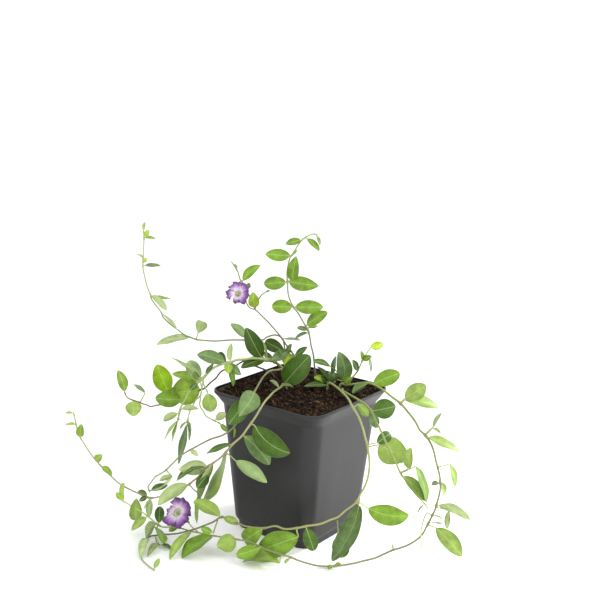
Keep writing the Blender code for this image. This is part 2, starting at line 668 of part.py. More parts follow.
def front_runner():
    main = [
        (330, 383, 2), (335, 386, -2), (340, 390, -10), (345, 395, -20), (349, 400, -30), (352, 406, -39),
        (356, 412, -43), (360, 420, -45), (363, 429, -46), (365, 437, -46), (367, 444, -46),
        (368.5, 452, -45), (369.5, 462, -44), (369, 472, -44), (367, 481, -45), (364, 488, -46),
        (360, 495, -48), (357, 501, -49), (352, 506, -51), (345, 511, -54), (338, 517, -57),
        (330, 520, -60), (320, 524, -62), (307, 526, -63), (297, 528, -63), (285, 529, -62),
        (275, 526, -60), (265, 528, -58), (255, 527.5, -56), (245, 526, -54), (240, 524, -52),
        (232, 522, -50), (222, 517, -47), (213, 522, -46), (203, 526, -45), (195, 529, -44.5),
        (180, 533, -39), (171, 534.2, -31), (163, 534.5, -28.5), (155, 535.5, -29), (149.5, 536.7, -31),
        (142, 543, -40.5), (140.5, 551, -52), (142, 559.5, -64), (148.5, 566, -72.5), (155, 570.5, -78)]
    leaves = [
        (326, 384, 304, 386, 5, -4, UPPER),
        (355, 409, 370, 418, 9, -10, UNDER),
        (379, 445, 408, 459, 28, 4, UNDER),
        (377, 443, 391, 433, 12, 4, UPPER),
        (359, 505.5, 330, 560, 16, -15.5, UPPER, -6.5),
        (368.5, 508.3, 409.3, 514.9, 20, 4, UPPER, 4.5),
        (306, 528, 314, 551, 14, -4, UPPER),
        (298, 537, 257, 553, 25, 8, UPPER),
        (264, 529, 243, 542, 18, 10, UPPER),
        (222, 517, 239, 524, 8, -4, UPPER),
        (221, 517, 194, 500, 13, -6, UNDER),
        (147.5, 539.5, 140.5, 558.5, 8, LIE, UPPER),
        (154.5, 569, 159.5, 558, 5, 4, UPPER)]
    stalk = [seen(218, 519, -47), seen(215, 528, -51), seen(213, 534, -55)]
    twig = [seen(155, 535.5, -29), on_floor(157, 542, 1.2), on_floor(160, 545.5, 1.2)]
    bend = [seen(337.2, 520, -57.5), seen(338, 528, -55), seen(338.5, 534, -53)]
    branches = [
        (stalk, 0.5, 0.45, [(213, 533, 201, 528, 7, -1, UPPER)]),
        (twig, 0.45, 0.42, [
            (158, 543, 147.5, 557, 6, LIE, UNDER), (160, 545.4, 171.5, 549.3, 3.5, LIE, UPPER)]),
        (bend, 0.6, 0.5, [(338.5, 534, 343, 560, 22, -12, UPPER)])]
    return spray("front_runner", main, leaves, 0.5, branches)


def long_runner():
    main = [
        (348, 385, 7), (355, 384, 4), (363, 383, 1.5), (370, 383, -1), (377, 386, -4.5), (384, 390.5, -9),
        (392, 397, -12), (400, 403, -15), (408, 412, -19), (415, 421, -22), (420, 430, -25),
        (426, 436, -27), (431, 444, -29), (434, 452, -31), (436, 461, -33), (438, 468, -35),
        (440, 478, -37), (440.5, 487, -39), (439, 496, -41), (437, 503, -42), (435, 510, -44),
        (431, 518, -45), (428, 524, -46), (421, 536, -43), (410, 544, -46), (400, 548, -48),
        (393, 550, -49), (384, 554, -52), (375, 558, -56), (365, 560.5, -59), (350, 564, -63.5),
        (335, 566, -66.5), (320, 566, -67), (310, 564, -67), (300, 561, -68), (290, 557, -68),
        (280, 554, -68), (265, 549, -64), (255, 544, -61), (247, 541, -59), (240, 540, -57),
        (230, 538, -54), (215, 536, -49), (200, 533, -43), (190, 531, -38), (180, 528, -33),
        (171, 527, -30), (163, 527, -28), (157, 524, -27), (150, 518, -26), (142, 512, -25),
        (135, 508, -24), (128, 504, -23), (121, 500, -22)]
    leaves = [
        (344, 386, 352, 377, 6, -4, UPPER),
        (373, 381, 400, 374, 15, 4, UPPER),
        (369, 384, 352, 393, 8, -7, UNDER),
        (405, 398, 426, 385, 17, 3, UPPER),
        (405, 400, 439.5, 407, 12, 6, UPPER),
        (433, 427, 441, 412, 4, 3, UPPER),
        (433, 428, 441, 433, 3, -3, UNDER),
        (428, 436, 460.5, 451, 9, -5, UPPER),
        (450, 464, 456, 487, 6.5, -4, UPPER),
        (437, 482, 445, 496, 6, 5, UPPER),
        (439, 484, 431, 483.5, 5, 6, UPPER),
        (437, 505, 471, 519, 9, -5, UNDER),
        (449, 511, 447, 529, 6, -4, UPPER),
        (433, 515, 443, 519, 2, -3, UPPER),
        (429, 523, 443, 524, 2, -4, UPPER),
        (436, 528, 462, 556, 16, -13, UPPER),
        (393, 550, 392, 544, 2, 1, UPPER),
        (335, 566, 328, 569, 4, LIE, UPPER),
        (334, 566, 341, 563, 3, 2, UPPER),
        (291, 558, 286, 563, 4, LIE, UPPER),
        (214, 537, 181, 556.5, 13, LIE, UPPER),
        (238, 541, 219.5, 547, 17, -2, UNDER),
        (192, 532, 169.5, 559, 8.5, LIE, UPPER),
        (179, 528.5, 168, 530.5, 6, 4, UPPER),
        (262, 546, 236, 556, 13, -3, UPPER),
        (279.5, 559.5, 241, 561.5, 14, -5, UPPER, -4),
        (121, 500, 116, 492, 5, 3, UPPER),
        (121, 500, 124, 483, 6, -8, UPPER),
        (136.5, 498.5, 135, 521.5, 12.5, 2, UPPER),
        (147, 517, 131, 530.5, 8, -5, UPPER),
        (157, 523.5, 145, 537, 10, -22, UNDER),
        (159, 524, 160, 506, 9.5, 8, UPPER),
        (157, 527.5, 163, 543.5, 8, -20, UPPER)]
    thread = [seen(432, 516, -44.5), seen(427, 513, -46), seen(423, 522, -48.5), seen(421, 533, -51),
              seen(421.5, 549, -52)]
    pedicel = [seen(199, 533, -42.5), seen(192, 527, -26), seen(188.5, 522.6, -19.5)]
    calyx = [seen(189.6, 523.2, -18.8), seen(188, 521.7, -19.7), seen(185.6, 519.4, -21.5)]
    branches = [
        (thread, 0.45, 0.4, []),
        (pedicel, 0.45, 0.45, [])]
    return spray("long_runner", main, leaves, 0.42, branches, [tube(calyx, 0.6, 1.4, 6)], "MANIFOLD")


def inner_right_stem():
    main = [
        (343, 391, -9), (350, 395, -19), (358, 399.5, -29), (366, 405, -38), (372, 413, -43),
        (378, 425, -48), (381, 431, -50), (386, 443, -53), (391, 453, -53), (396, 463, -52),
        (399, 470, -50), (403, 477, -47), (408, 484, -43), (413, 491, -40), (418, 497, -37),
        (424, 503, -34), (429, 509, -32)]
    leaves = [
        (371, 411, 395, 406, 18, 4, UPPER),
        (372, 411, 377, 428, 10, -5, UPPER),
        (371, 410, 371, 427, 3, 3, UPPER),
        (408, 468.5, 411, 447.5, 10, -4, UPPER),
        (402.5, 475, 426, 500.5, 11.5, -5, UPPER),
        (415.5, 466.5, 428.5, 503, 8, -3, UPPER),
        (424, 504, 417, 513, 3, -3, UPPER)]
    return spray("inner_right_stem", main, leaves, 0.48)


def crown_shoot():
    main = [(334, 383, 12), (336, 377, 11), (338, 371, 10)]
    leaves = [
        (341, 380, 339, 352, 15, -4, UPPER),
        (330, 383, 335, 356, 5, -4, UPPER),
        (329, 381, 317, 365, 5, -5, UNDER),
        (327, 382, 314, 376, 7, -4, UPPER),
        (337, 382, 334, 373, 9, -7, UPPER),
        (330, 366, 313, 361, 6, -5, UPPER),
        (324, 379, 319, 371, 4, 2, UPPER)]
    return spray("crown_shoot", main, leaves, 0.5)


def right_young_shoot():
    main = [(357, 372, 16), (360, 366, 14), (363, 359, 12)]
    leaves = [
        (363, 360, 372, 356, 6, -4, UPPER),
        (369, 358, 371, 372, 3, -3, UPPER),
        (362, 358, 361, 351, 4, -3, UPPER),
        (371, 347, 383.5, 344, 8.5, -3, UPPER),
        (358, 371, 353, 360, 6, -4, UPPER)]
    return spray("right_young_shoot", main, leaves, 0.42)


def corolla(name, heart, calyx, radius, spin):
    """Five broad lobes round a tube that stands on the calyx; spin is where the first points, in degrees."""
    out = (heart - calyx).normalized()
    side = (Vector((1, 0, 0)) - out * out.x).normalized()
    up = out.cross(side)
    count = LOBES * LOBE_STEPS
    shares = (0.62, 0.96, 1.0, 1.0, 0.94)
    lifts = (0.0, 0.9, 0.4, -0.3, -0.9)
    rings = []
    for ring in range(3):
        for k in range(count):
            turn = math.radians(spin - 36) + 2 * math.pi * k / count
            reach = (1.5, 0.40 * radius, radius * shares[k % LOBE_STEPS])[ring]
            lift = (-2.2, -0.6, lifts[k % LOBE_STEPS])[ring]
            rings.append(heart + (side * math.cos(turn) + up * math.sin(turn)) * reach * MM + out * lift * MM)
    thick = out * (PETAL / 2 * MM)
    throat = heart - out * (THROAT_DEPTH * MM)
    points = [p + thick for p in rings] + [p - thick for p in rings]
    under = len(rings)
    points += [throat + thick, throat - thick]
    faces = []
    for k in range(count):
        j = (k + 1) % count
        faces.append((2 * under, k, j))
        faces.append((2 * under + 1, under + k, under + j))
        for ring in range(2):
            a = ring * count + k
            b = ring * count + j
            for face in (0, under):
                faces.append((a + face, b + face, b + count + face))
                faces.append((a + face, b + count + face, a + count + face))
        a = 2 * count + k
        b = 2 * count + j
        faces.append((a, b, b + under, a + under))
    disc = mesh_object(name, points, faces)
    foot = calyx + out * 0.7 * MM
    rod = tube([foot, foot.lerp(heart, 0.5), heart - out * 2.0 * MM], 0.8, 1.5, 8)
    return fuse(name, [disc, rod], PETAL_VIOLET, 0.55, "EXACT")


def upper_flower():
    return corolla("upper_flower", seen(238, 293.5, -11), seen(243.2, 298.5, -2.2), 9, 31)


def lower_flower():
    return corolla("lower_flower", seen(176.5, 511.8, -32.5), seen(185.6, 519.4, -21.5), 10.6, 225)


clear()
pot()
soil(ROOTS.values())
upper_left_runner()
upright_stem()
flowering_stem()
left_arching_stem()
dark_left_stem()
left_rim_runner()
front_left_runner()
front_runner()
long_runner()
inner_right_stem()
crown_shoot()
right_young_shoot()
upper_flower()
lower_flower()
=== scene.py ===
import math
import random
import bmesh
import bpy
from math import cos, pi, radians, sin
from mathutils import Matrix, Vector, noise


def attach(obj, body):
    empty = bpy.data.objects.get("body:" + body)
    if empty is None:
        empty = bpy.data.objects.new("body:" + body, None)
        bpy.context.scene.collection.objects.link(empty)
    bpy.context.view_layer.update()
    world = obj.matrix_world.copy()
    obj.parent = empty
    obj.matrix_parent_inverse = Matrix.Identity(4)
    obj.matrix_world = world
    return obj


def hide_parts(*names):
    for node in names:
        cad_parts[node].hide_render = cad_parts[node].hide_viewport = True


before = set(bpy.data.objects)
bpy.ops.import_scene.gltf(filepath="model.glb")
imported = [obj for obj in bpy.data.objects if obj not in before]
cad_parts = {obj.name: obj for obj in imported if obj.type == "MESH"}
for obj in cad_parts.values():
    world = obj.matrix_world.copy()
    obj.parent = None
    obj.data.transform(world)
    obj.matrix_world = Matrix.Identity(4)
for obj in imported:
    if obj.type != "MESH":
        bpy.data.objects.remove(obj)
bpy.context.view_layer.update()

# The set: a camera a little above the plant and turned a touch, a white seamless floor and an even white
# room, with a large soft panel low on the right, so that the pot's right face is the lighter one.
MM = 0.001
EYE = Vector((-2.34, -688.69, 320.75)) * MM
TILT = radians(13.12)
ROLL = radians(1.64)
FOCAL = 1061.0
PICTURE = 600.0
SENSOR_MM = 36.0
NEAREST_SEEN = 0.02
ROOM_LIGHT = 1.05
PLANT_MIDDLE = Vector((0, 0, 0.07))
BEHIND_POT = Vector((0.14, 0.03, 0))
FLOOR_HALF = 6.0


def linear(hex_colour):
    """An sRGB hex colour as the linear numbers that a shader takes."""
    made = []
    for start in (1, 3, 5):
        value = int(hex_colour[start:start + 2], 16) / 255
        made.append(value / 12.92 if value <= 0.04045 else ((value + 0.055) / 1.055) ** 2.4)
    return (*made, 1.0)


def fill(tree, node, inputs):
    """Gives inputs, by name or in order, a plain value, a socket to link or a node's first output."""
    for name, value in inputs.items() if isinstance(inputs, dict) else enumerate(inputs):
        if isinstance(value, bpy.types.Node):
            value = value.outputs[0]
        if isinstance(value, bpy.types.NodeSocket):
            tree.links.new(value, node.inputs[name])
        else:
            node.inputs[name].default_value = value


def surface(name, inputs):
    """A material with the plain values of its shader, and its node tree and that shader."""
    made = bpy.data.materials.new(name)
    made.use_nodes = True
    shader = made.node_tree.nodes["Principled BSDF"]
    fill(made.node_tree, shader, inputs)
    return made, made.node_tree, shader


def light(name, kind, place, aim, power, **settings):
    """A lamp at a place in metres, turned to its aim, with its power in watts."""
    lamp = bpy.data.lights.new(name, kind)
    lamp.energy = power
    for setting, value in settings.items():
        setattr(lamp, setting, value)
    holder = bpy.data.objects.new(name, lamp)
    holder.location = place
    holder.rotation_euler = (aim - Vector(place)).to_track_quat("-Z", "Y").to_euler()
    scene.collection.objects.link(holder)


def as_object(name, work):
    """Makes a bmesh into a mesh object in the scene."""
    mesh = bpy.data.meshes.new(name)
    work.to_mesh(mesh)
    work.free()
    made = bpy.data.objects.new(name, mesh)
    scene.collection.objects.link(made)
    return made


scene = bpy.context.scene
lens = bpy.data.cameras.new("camera")
lens.sensor_width = SENSOR_MM
lens.lens = FOCAL * SENSOR_MM / PICTURE
lens.clip_start = NEAREST_SEEN
camera = bpy.data.objects.new("camera", lens)
camera.matrix_world = (Matrix.Translation(EYE) @ Matrix.Rotation(pi / 2 - TILT, 4, "X")
                       @ Matrix.Rotation(ROLL, 4, "Z"))
scene.collection.objects.link(camera)
scene.camera = camera
scene.view_settings.view_transform = "Standard"

world = bpy.data.worlds.new("studio")
world.use_nodes = True
fill(world.node_tree, world.node_tree.nodes["Background"], (linear("#ffffff"), ROOM_LIGHT))
scene.world = world

light("key_panel", "AREA", (0.65, -0.5, 0.7), PLANT_MIDDLE, 3.2, shape="DISK", size=0.6)
light("low_panel", "AREA", (0.75, 0.3, 0.14), PLANT_MIDDLE, 2.6, shape="DISK", size=0.5)
light("fill_panel", "AREA", (-0.65, -0.6, 0.7), PLANT_MIDDLE, 1.6, shape="DISK", size=0.6)
# It lights the white floor behind the pot's right side, which that side mirrors
light("floor_lamp", "SPOT", (0.5, 0.27, 0.35), BEHIND_POT, 17.0,
      spot_size=radians(36), spot_blend=1.0, shadow_soft_size=0.05)

work = bmesh.new()
bmesh.ops.create_grid(work, x_segments=1, y_segments=1, size=FLOOR_HALF)
floor = as_object("floor", work)
# Matt white background paper, lifted a little so that it stays white towards the back
paper, tree, shader = surface("white_paper_floor", {
    "Base Color": linear("#fcfcfc"), "Roughness": 0.9, "Specular IOR Level": 0.1,
    "Emission Color": linear("#ffffff"), "Emission Strength": 0.08})
floor.data.materials.append(paper)

# Pot: a 9 cm square nursery pot, injection moulded in black polypropylene, narrower at the foot, which
# is chamfered in below. A flared collar carries the thin rim band, and there is a drain hole at each corner.
POT_TURN = radians(53.45)
POT_TOP = 99.0
RIM_HALF = 45.0
BODY_TOP_HALF = 40.1
BODY_FOOT_HALF = 33.4
FOOT_HALF = 31.3
FOOT_HIGH = 3.8
BODY_FOOT = 7.8
COLLAR_FOOT = 89.5
BAND_FOOT = 96.8
WALL = 1.6
FLOOR_THICK = 2.2
AROUND = 128
DRAIN_AT = 30.8
DRAIN_RADIUS = 3.2
DRAIN_LONG = 12.0
DRAIN_SIDES = 32
POT_WELD = 0.000002
# Where painted shade darkens the wall inside the rim: the corner's radius, the inset from the rim and the
# depth below its top
INNER_SHADE_CORNER = 11.0
INNER_SHADE_INSET = 1.1
INNER_SHADE_DEPTH = 2.5


def add(tree, kind, inputs=(), **settings):
    """Adds a node with its settings and its inputs."""
    made = tree.nodes.new("ShaderNode" + kind)
    for name, value in settings.items():
        setattr(made, name, value)
    fill(tree, made, inputs)
    return made


def finished(name, work, materials, smooth=True):
    """Makes a bmesh into a piece of the object, smooth or faceted, with its materials."""
    bmesh.ops.recalc_face_normals(work, faces=work.faces)
    for face in work.faces:
        face.smooth = smooth
    piece = as_object(name, work)
    for made in materials:
        piece.data.materials.append(made)
    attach(piece, "root")
    return piece


def wrapped(work, stations, sides, place):
    """A sheet bent round into a closed tube; place gives each point by its station and its side."""
    made = bmesh.ops.create_grid(work, x_segments=stations - 1, y_segments=sides, size=1.0)["verts"]
    for vert in made:
        station = round((vert.co.x + 1) / 2 * (stations - 1))
        side = round((vert.co.y + 1) / 2 * sides) % sides
        vert.co = place(station, side)
    return made


def spun(x, y, angle):
    """A place turned by an angle round the pot's axis."""
    return x * cos(angle) - y * sin(angle), x * sin(angle) + y * cos(angle)


def square_spot(half, corner, z, turn):
    """The point of a square with round corners at a share of the way round it, turned with the pot."""
    quarter = int(turn * 4) % 4
    within = turn * 4 % 1.0
    flat = half - corner
    if within < 0.25:
        x, y = half, flat * (within / 0.25)
    elif within > 0.75:
        x, y = flat * ((1 - within) / 0.25), half
    else:
        angle = radians(90 * (within - 0.25) / 0.5)
        x, y = flat + corner * cos(angle), flat + corner * sin(angle)
    return Vector((*spun(x, y, POT_TURN + radians(90 * quarter)), z)) * MM


def side_at(z):
    """Half the pot's side at a height between its foot and its collar."""
    return BODY_FOOT_HALF + (BODY_TOP_HALF - BODY_FOOT_HALF) * (z - BODY_FOOT) / (COLLAR_FOOT - BODY_FOOT)


# Half the side, the corner's radius and the height of each ring, in millimetres: from the middle of the
# underside, up the outside, over the rim and down the inside
PROFILE = [
    (0.02, 0.01, 0.0), (12.0, 4.0, 0.0), (24.0, 7.0, 0.0), (FOOT_HALF - 0.9, 8.4, 0.0),
    (FOOT_HALF - 0.3, 8.8, 0.15), (FOOT_HALF, 9.0, 0.7), (FOOT_HALF, 9.0, FOOT_HIGH - 0.2),
    (FOOT_HALF + 0.1, 9.0, FOOT_HIGH + 0.2), (BODY_FOOT_HALF - 0.25, 9.5, BODY_FOOT - 0.5),
    (BODY_FOOT_HALF - 0.05, 9.6, BODY_FOOT - 0.05), (side_at(8.6), 9.7, 8.6)]
PROFILE += [(side_at(z), 9.7 + z / 110.0, z) for z in (16.0, 28.0, 40.0, 52.0, 64.0, 76.0, 84.0, 88.3)]
PROFILE += [
    (BODY_TOP_HALF + 0.1, 10.5, COLLAR_FOOT), (BODY_TOP_HALF + 0.7, 10.7, COLLAR_FOOT + 0.9),
    (43.0, 11.2, 94.0), (44.3, 11.4, 96.2), (44.6, 11.5, BAND_FOOT), (RIM_HALF - 0.1, 11.5, BAND_FOOT + 0.15),
    (RIM_HALF, 11.5, BAND_FOOT + 0.4), (RIM_HALF, 11.5, POT_TOP - 0.5),
    (RIM_HALF - 0.12, 11.4, POT_TOP - 0.12), (RIM_HALF - 0.45, 11.3, POT_TOP),
    (RIM_HALF - 1.0, 11.0, POT_TOP), (RIM_HALF - 1.35, 10.8, POT_TOP - 0.3),
    (RIM_HALF - 1.5, 10.5, POT_TOP - 1.1), (43.3, 10.5, BAND_FOOT + 0.9), (41.0, 10.2, 92.6),
    (BODY_TOP_HALF - WALL, 9.5, 88.7),
    (BODY_FOOT_HALF - WALL, 8.5, 8.8), (29.7, 8.0, 4.4), (29.7, 8.0, FLOOR_THICK), (12.0, 4.0, FLOOR_THICK),
    (0.02, 0.01, FLOOR_THICK)]
work = bmesh.new()
wrapped(work, len(PROFILE), AROUND, lambda i, k: square_spot(*PROFILE[i], (k + 0.5) / AROUND))
bmesh.ops.remove_doubles(work, verts=work.verts, dist=POT_WELD)
bmesh.ops.holes_fill(work, edges=work.edges, sides=AROUND)
bmesh.ops.recalc_face_normals(work, faces=work.faces)
shell = as_object("pot_shell", work)
work = bmesh.new()
for quarter in range(4):
    angle = POT_TURN + radians(45 + 90 * quarter)
    hole = bmesh.ops.create_cone(work, cap_ends=True, segments=DRAIN_SIDES, radius1=DRAIN_RADIUS * MM,
                                 radius2=DRAIN_RADIUS * MM, depth=DRAIN_LONG * MM)["verts"]
    bmesh.ops.translate(work, verts=hole, vec=Vector((cos(angle), sin(angle), 0)) * DRAIN_AT * MM)
cutter = as_object("drain_cutter", work)
take = shell.modifiers.new("drain", "BOOLEAN")
take.operation = "DIFFERENCE"
take.solver = "EXACT"
take.object = cutter
cut = bpy.data.meshes.new_from_object(shell.evaluated_get(bpy.context.evaluated_depsgraph_get()))
bpy.data.objects.remove(shell)
bpy.data.objects.remove(cutter)
work = bmesh.new()
work.from_mesh(cut)
bpy.data.meshes.remove(cut)

# Black polypropylene straight from the mould: satin, with a faint grain, flow marks down the walls and
# a little dried compost dust near the foot
plastic, tree, shader = surface("moulded_black_polypropylene", {"IOR": 1.49})
place = add(tree, "TexCoord").outputs["Object"]
grain = add(tree, "TexNoise", {"Vector": place, "Scale": 1 / (0.35 * MM), "Detail": 3.0})
stretch = add(tree, "Mapping", {"Vector": place, "Scale": (1.0, 1.0, 0.12)})
flow = add(tree, "TexNoise", {"Vector": stretch, "Scale": 1 / (14 * MM), "Detail": 4.0})
specks = add(tree, "TexNoise", {"Vector": place, "Scale": 1 / (1.6 * MM), "Detail": 6.0, "Roughness": 0.7})
height = add(tree, "SeparateXYZ", (place,)).outputs["Z"]
low = add(tree, "MapRange", (height, 0.0, 22 * MM, 1.0, 0.25))
dust = add(tree, "MapRange", (specks, 0.54, 0.8, 0.0, 0.5))
dusty = add(tree, "Math", (low, dust), operation="MULTIPLY")
body = add(tree, "Mix", {0: flow, 6: linear("#161617"), 7: linear("#1d1d1f")}, data_type="RGBA")
colour = add(tree, "Mix", {0: dusty, 6: body.outputs[2], 7: linear("#6a5f55")}, data_type="RGBA")
rough = add(tree, "MapRange", (flow, 0.3, 0.7, 0.42, 0.52))
bump = add(tree, "Bump", {"Height": grain, "Strength": 0.25, "Distance": 0.05 * MM})
fill(tree, shader, {"Base Color": colour.outputs[2], "Roughness": rough, "Normal": bump})
# Painted shade on the wall's inside above the fill: there the plastic is dull and darker, brown-black
inner_shade, tree, shader = surface("painted_shade_inner_polypropylene", {
    "Base Color": linear("#12100e"), "Roughness": 0.9, "Specular IOR Level": 0.12})
for face in work.faces:
    spot = face.calc_center_median() / MM
    across, deep = spun(spot.x, spot.y, -POT_TURN)
    flat = RIM_HALF - INNER_SHADE_CORNER
    half = flat + math.hypot(max(abs(across) - flat, 0.0), max(abs(deep) - flat, 0.0))
    inside = half < RIM_HALF - INNER_SHADE_INSET and spot.z > POT_TOP - INNER_SHADE_DEPTH
    face.material_index = 1 if inside and abs(face.normal.z) < 0.95 else 0
pot = finished("nursery_pot", work, [plastic, inner_shade])
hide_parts("pot")
pot.data.set_sharp_from_angle(angle=radians(40))

# Compost: dark fibrous potting mix that fills the pot almost level with its rim, rougher than its flat
# top in the solids, with loose crumbs, bark shreds and brown fibres.
SOIL_TOP = 97.2
SOIL_LUMPS = ((11.0, 1.5), (4.4, 1.6), (1.7, 0.8))
SOIL_RINGS = 34
SOIL_AROUND = 120
SOIL_EDGE_HALF = 43.1
SOIL_WELD = 0.00001
CRUMBS = 900
CRUMB_REACH = 41.5
FIBRES = 800
FIBRE_REACH = 40.5
FIBRE_STEPS = 5
FIBRE_SIDES = 3
FIBRE_WELD = 0.0000002
draw = random.Random(5)


def soil_height(x, y):
    """The rough top of the compost, in millimetres, from its lumps; it rises at the front and the edge."""
    made = 0.0
    for size, tall in SOIL_LUMPS:
        made += noise.noise(Vector((x / size, y / size, 3.1 * size))) * tall
    edge = max(abs(part) for part in spun(x, y, -POT_TURN))
    return SOIL_TOP + made - 0.5 + 0.04 * max(-y - 34.0, 0.0) + 0.3 * max(edge - 39.5, 0.0)


def soil_spot(ring, side):
    """Rings 0 to 5 climb the side of the root ball, and the others close in over its top."""
    sides = ((0.05, 2.8), (27.5, 2.8), (29.0, 4.4), (31.1, 9.4), (37.8, 88.4), (41.5, 95.0))
    turn = (side + 0.5) / SOIL_AROUND
    if ring < len(sides):
        half, z = sides[ring]
        return square_spot(half, min(half * 0.25, 9.0), z, turn)
    share = (1 - (ring - len(sides) + 0.4) / (SOIL_RINGS - len(sides))) ** 0.8
    spot = square_spot(SOIL_EDGE_HALF * share, 9.0 * share, 0.0, turn)
    spot.z = soil_height(spot.x / MM, spot.y / MM) * MM
    return spot


def set_stops(ramp, marks):
    """Sets a colour ramp's stops from its marks, each a share of the way along it and a colour."""
    stops = ramp.color_ramp.elements
    for share, shade in marks[1:-1]:
        stops.new(share).color = linear(shade)
    for stop, (share, shade) in ((stops[0], marks[0]), (stops[-1], marks[-1])):
        stop.position = share
        stop.color = linear(shade)


work = bmesh.new()
wrapped(work, SOIL_RINGS, SOIL_AROUND, soil_spot)
bmesh.ops.remove_doubles(work, verts=work.verts, dist=SOIL_WELD)
bmesh.ops.holes_fill(work, edges=work.edges, sides=SOIL_AROUND)
# Peat and bark, damp and matt, in near black and brown patches that follow its bump: painted shade makes its
# hollows near black, and its lumps are brown
compost, tree, shader = surface("fibrous_peat_and_bark_compost", {
    "Roughness": 0.95, "Specular IOR Level": 0.1})
place = add(tree, "TexCoord").outputs["Object"]
lumps = add(tree, "TexNoise", {"Vector": place, "Scale": 1 / (4.2 * MM), "Detail": 8.0, "Roughness": 0.75})
cells = add(tree, "TexVoronoi", {"Vector": place, "Scale": 1 / (1.1 * MM)})
ramp = add(tree, "ValToRGB", (lumps,))
set_stops(ramp, ((0.32, "#090706"), (0.52, "#1c130d"), (0.76, "#432b1c")))
rise = add(tree, "Math", (lumps, cells), operation="ADD")
bump = add(tree, "Bump", {"Height": rise, "Strength": 1.0, "Distance": 0.7 * MM})
fill(tree, shader, {"Base Color": ramp, "Normal": bump})
soil = finished("compost_fill", work, [compost])
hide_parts("soil")


def compost_shade(name, dark, light):
    """A rough brown for loose bits, different from one bit to the next by their places."""
    made, tree, shader = surface(name, {"Roughness": 0.9, "Specular IOR Level": 0.12})
    place = add(tree, "TexCoord").outputs["Object"]
    patch = add(tree, "TexNoise", {"Vector": place, "Scale": 1 / (2.3 * MM), "Detail": 4.0})
    share = add(tree, "MapRange", (patch, 0.36, 0.64))
    colour = add(tree, "Mix", {0: share, 6: linear(dark), 7: linear(light)}, data_type="RGBA")
    fill(tree, shader, {"Base Color": colour.outputs[2]})
    return made


def scattered(reach):
    """A random place on the compost, within a reach of the pot's axis along its sides, in millimetres."""
    x, y = draw.uniform(-reach, reach), draw.uniform(-reach, reach)
    return Vector((*spun(x, y, POT_TURN), 0))


work = bmesh.new()
for count in range(CRUMBS):
    size = draw.uniform(0.5, 3.2) * draw.uniform(0.3, 1.0)
    spot = scattered(CRUMB_REACH)
    spot.z = soil_height(spot.x, spot.y) + size * 0.2
    bit = bmesh.ops.create_icosphere(work, subdivisions=1, radius=size * MM)["verts"]
    stretch = Vector((draw.uniform(0.5, 1.5), draw.uniform(0.5, 1.2), draw.uniform(0.4, 0.8)))
    for vert in bit:
        vert.co = Vector(a * b for a, b in zip(vert.co, stretch)) * draw.uniform(0.75, 1.2)
    turn = Vector((draw.uniform(-1, 1), draw.uniform(-1, 1), 1.5)).to_track_quat("Z", "Y").to_matrix()
    bmesh.ops.transform(work, verts=bit, matrix=turn.to_4x4())
    bmesh.ops.translate(work, verts=bit, vec=spot * MM)
crumb_brown = compost_shade("bark_and_peat_crumbs", "#0c0907", "#3a281b")
finished("compost_crumbs", work, [crumb_brown], smooth=False)

work = bmesh.new()
for count in range(FIBRES):
    spot = scattered(FIBRE_REACH)
    heading = draw.uniform(0, 2 * pi)
    long = draw.uniform(1.5, 6.0)
    thick = draw.uniform(0.06, 0.2)
    bend = draw.uniform(-0.5, 0.5)
    rise = draw.uniform(0.1, 1.1)
    way = []
    for step in range(FIBRE_STEPS):
        share = step / (FIBRE_STEPS - 1) - 0.5
        angle = heading + bend * share
        ahead = spot + Vector((cos(angle), sin(angle), 0)) * long * share
        ahead.z = soil_height(ahead.x, ahead.y) + 0.15 + rise * (1 - 4 * share * share)
        way.append(ahead)

    def fibre_spot(station, side):
        """A point of a three-sided fibre, which ends in a point at both ends."""
        thin = thick * (0.05 if station in (0, FIBRE_STEPS - 1) else 1.0)
        turn = 2 * pi * side / FIBRE_SIDES
        return (way[station] + Vector((cos(turn), sin(turn), cos(turn))) * thin) * MM
    wrapped(work, FIBRE_STEPS, FIBRE_SIDES, fibre_spot)
bmesh.ops.remove_doubles(work, verts=work.verts, dist=FIBRE_WELD)
bmesh.ops.holes_fill(work, edges=work.edges, sides=FIBRE_SIDES)
fibre_brown = compost_shade("dry_coir_and_peat_fibre", "#1e140d", "#8a6c4e")
finished("compost_fibres", work, [fibre_brown])

# Upper left runner: a thin brown-green stem that leaves the crown to the left and climbs to a young tip.
# A periwinkle's leaves stand in pairs, glossy above and pale beneath, each on a short stalk from a joint.
LEAF_THICK = 0.28
STALK_RADIUS = 0.48
THIN_STALK_RADIUS = 0.36
LEAF_SLIM = 0.46
LEAF_BROAD = 0.68
LEAF_FOLD = 0.25
LEAF_ARCH = 0.08
LEAST_SEEN = 0.24
LARGE_LEAF = 20.0
SMALL_LEAF = 8.5
STALKED_FROM = 2.2
LYING_TIP = 1.7
STEM_DEPTH = 9.0
STEM_STEP = 1.1
SPAN_STEPS = 4
STEM_SIDES = 8
SHOOT_SIDES = 6
CALYX_SIDES = 10
LEAF_WELD = 0.0000001
JOINT_SWELL = 0.32
VEIN_SPACING = 2.4
UPPER = 1
UNDER = -1
# The colour of a leaf's seen face: dark, old, bluish, mature, light olive, young, newest, pale, vivid,
# silvery and sunlit
TONES = {"d": "#3c5910", "o": "#4a6c20", "b": "#69844c", "m": "#74992a", "l": "#8fa950", "y": "#98b836",
         "n": "#c0da46", "p": "#aec084", "g": "#7da200", "s": "#94ac72", "v": "#86a634"}
DEEP_GREEN = linear("#3c5c22")
PALE_GREEN = linear("#a9be80")
STALK_GREEN = linear("#aab56c")
JOINT_BROWN = linear("#8a7448")
SOFT_STEP = {"interpolation_type": "SMOOTHSTEP"}
draw = random.Random(31)


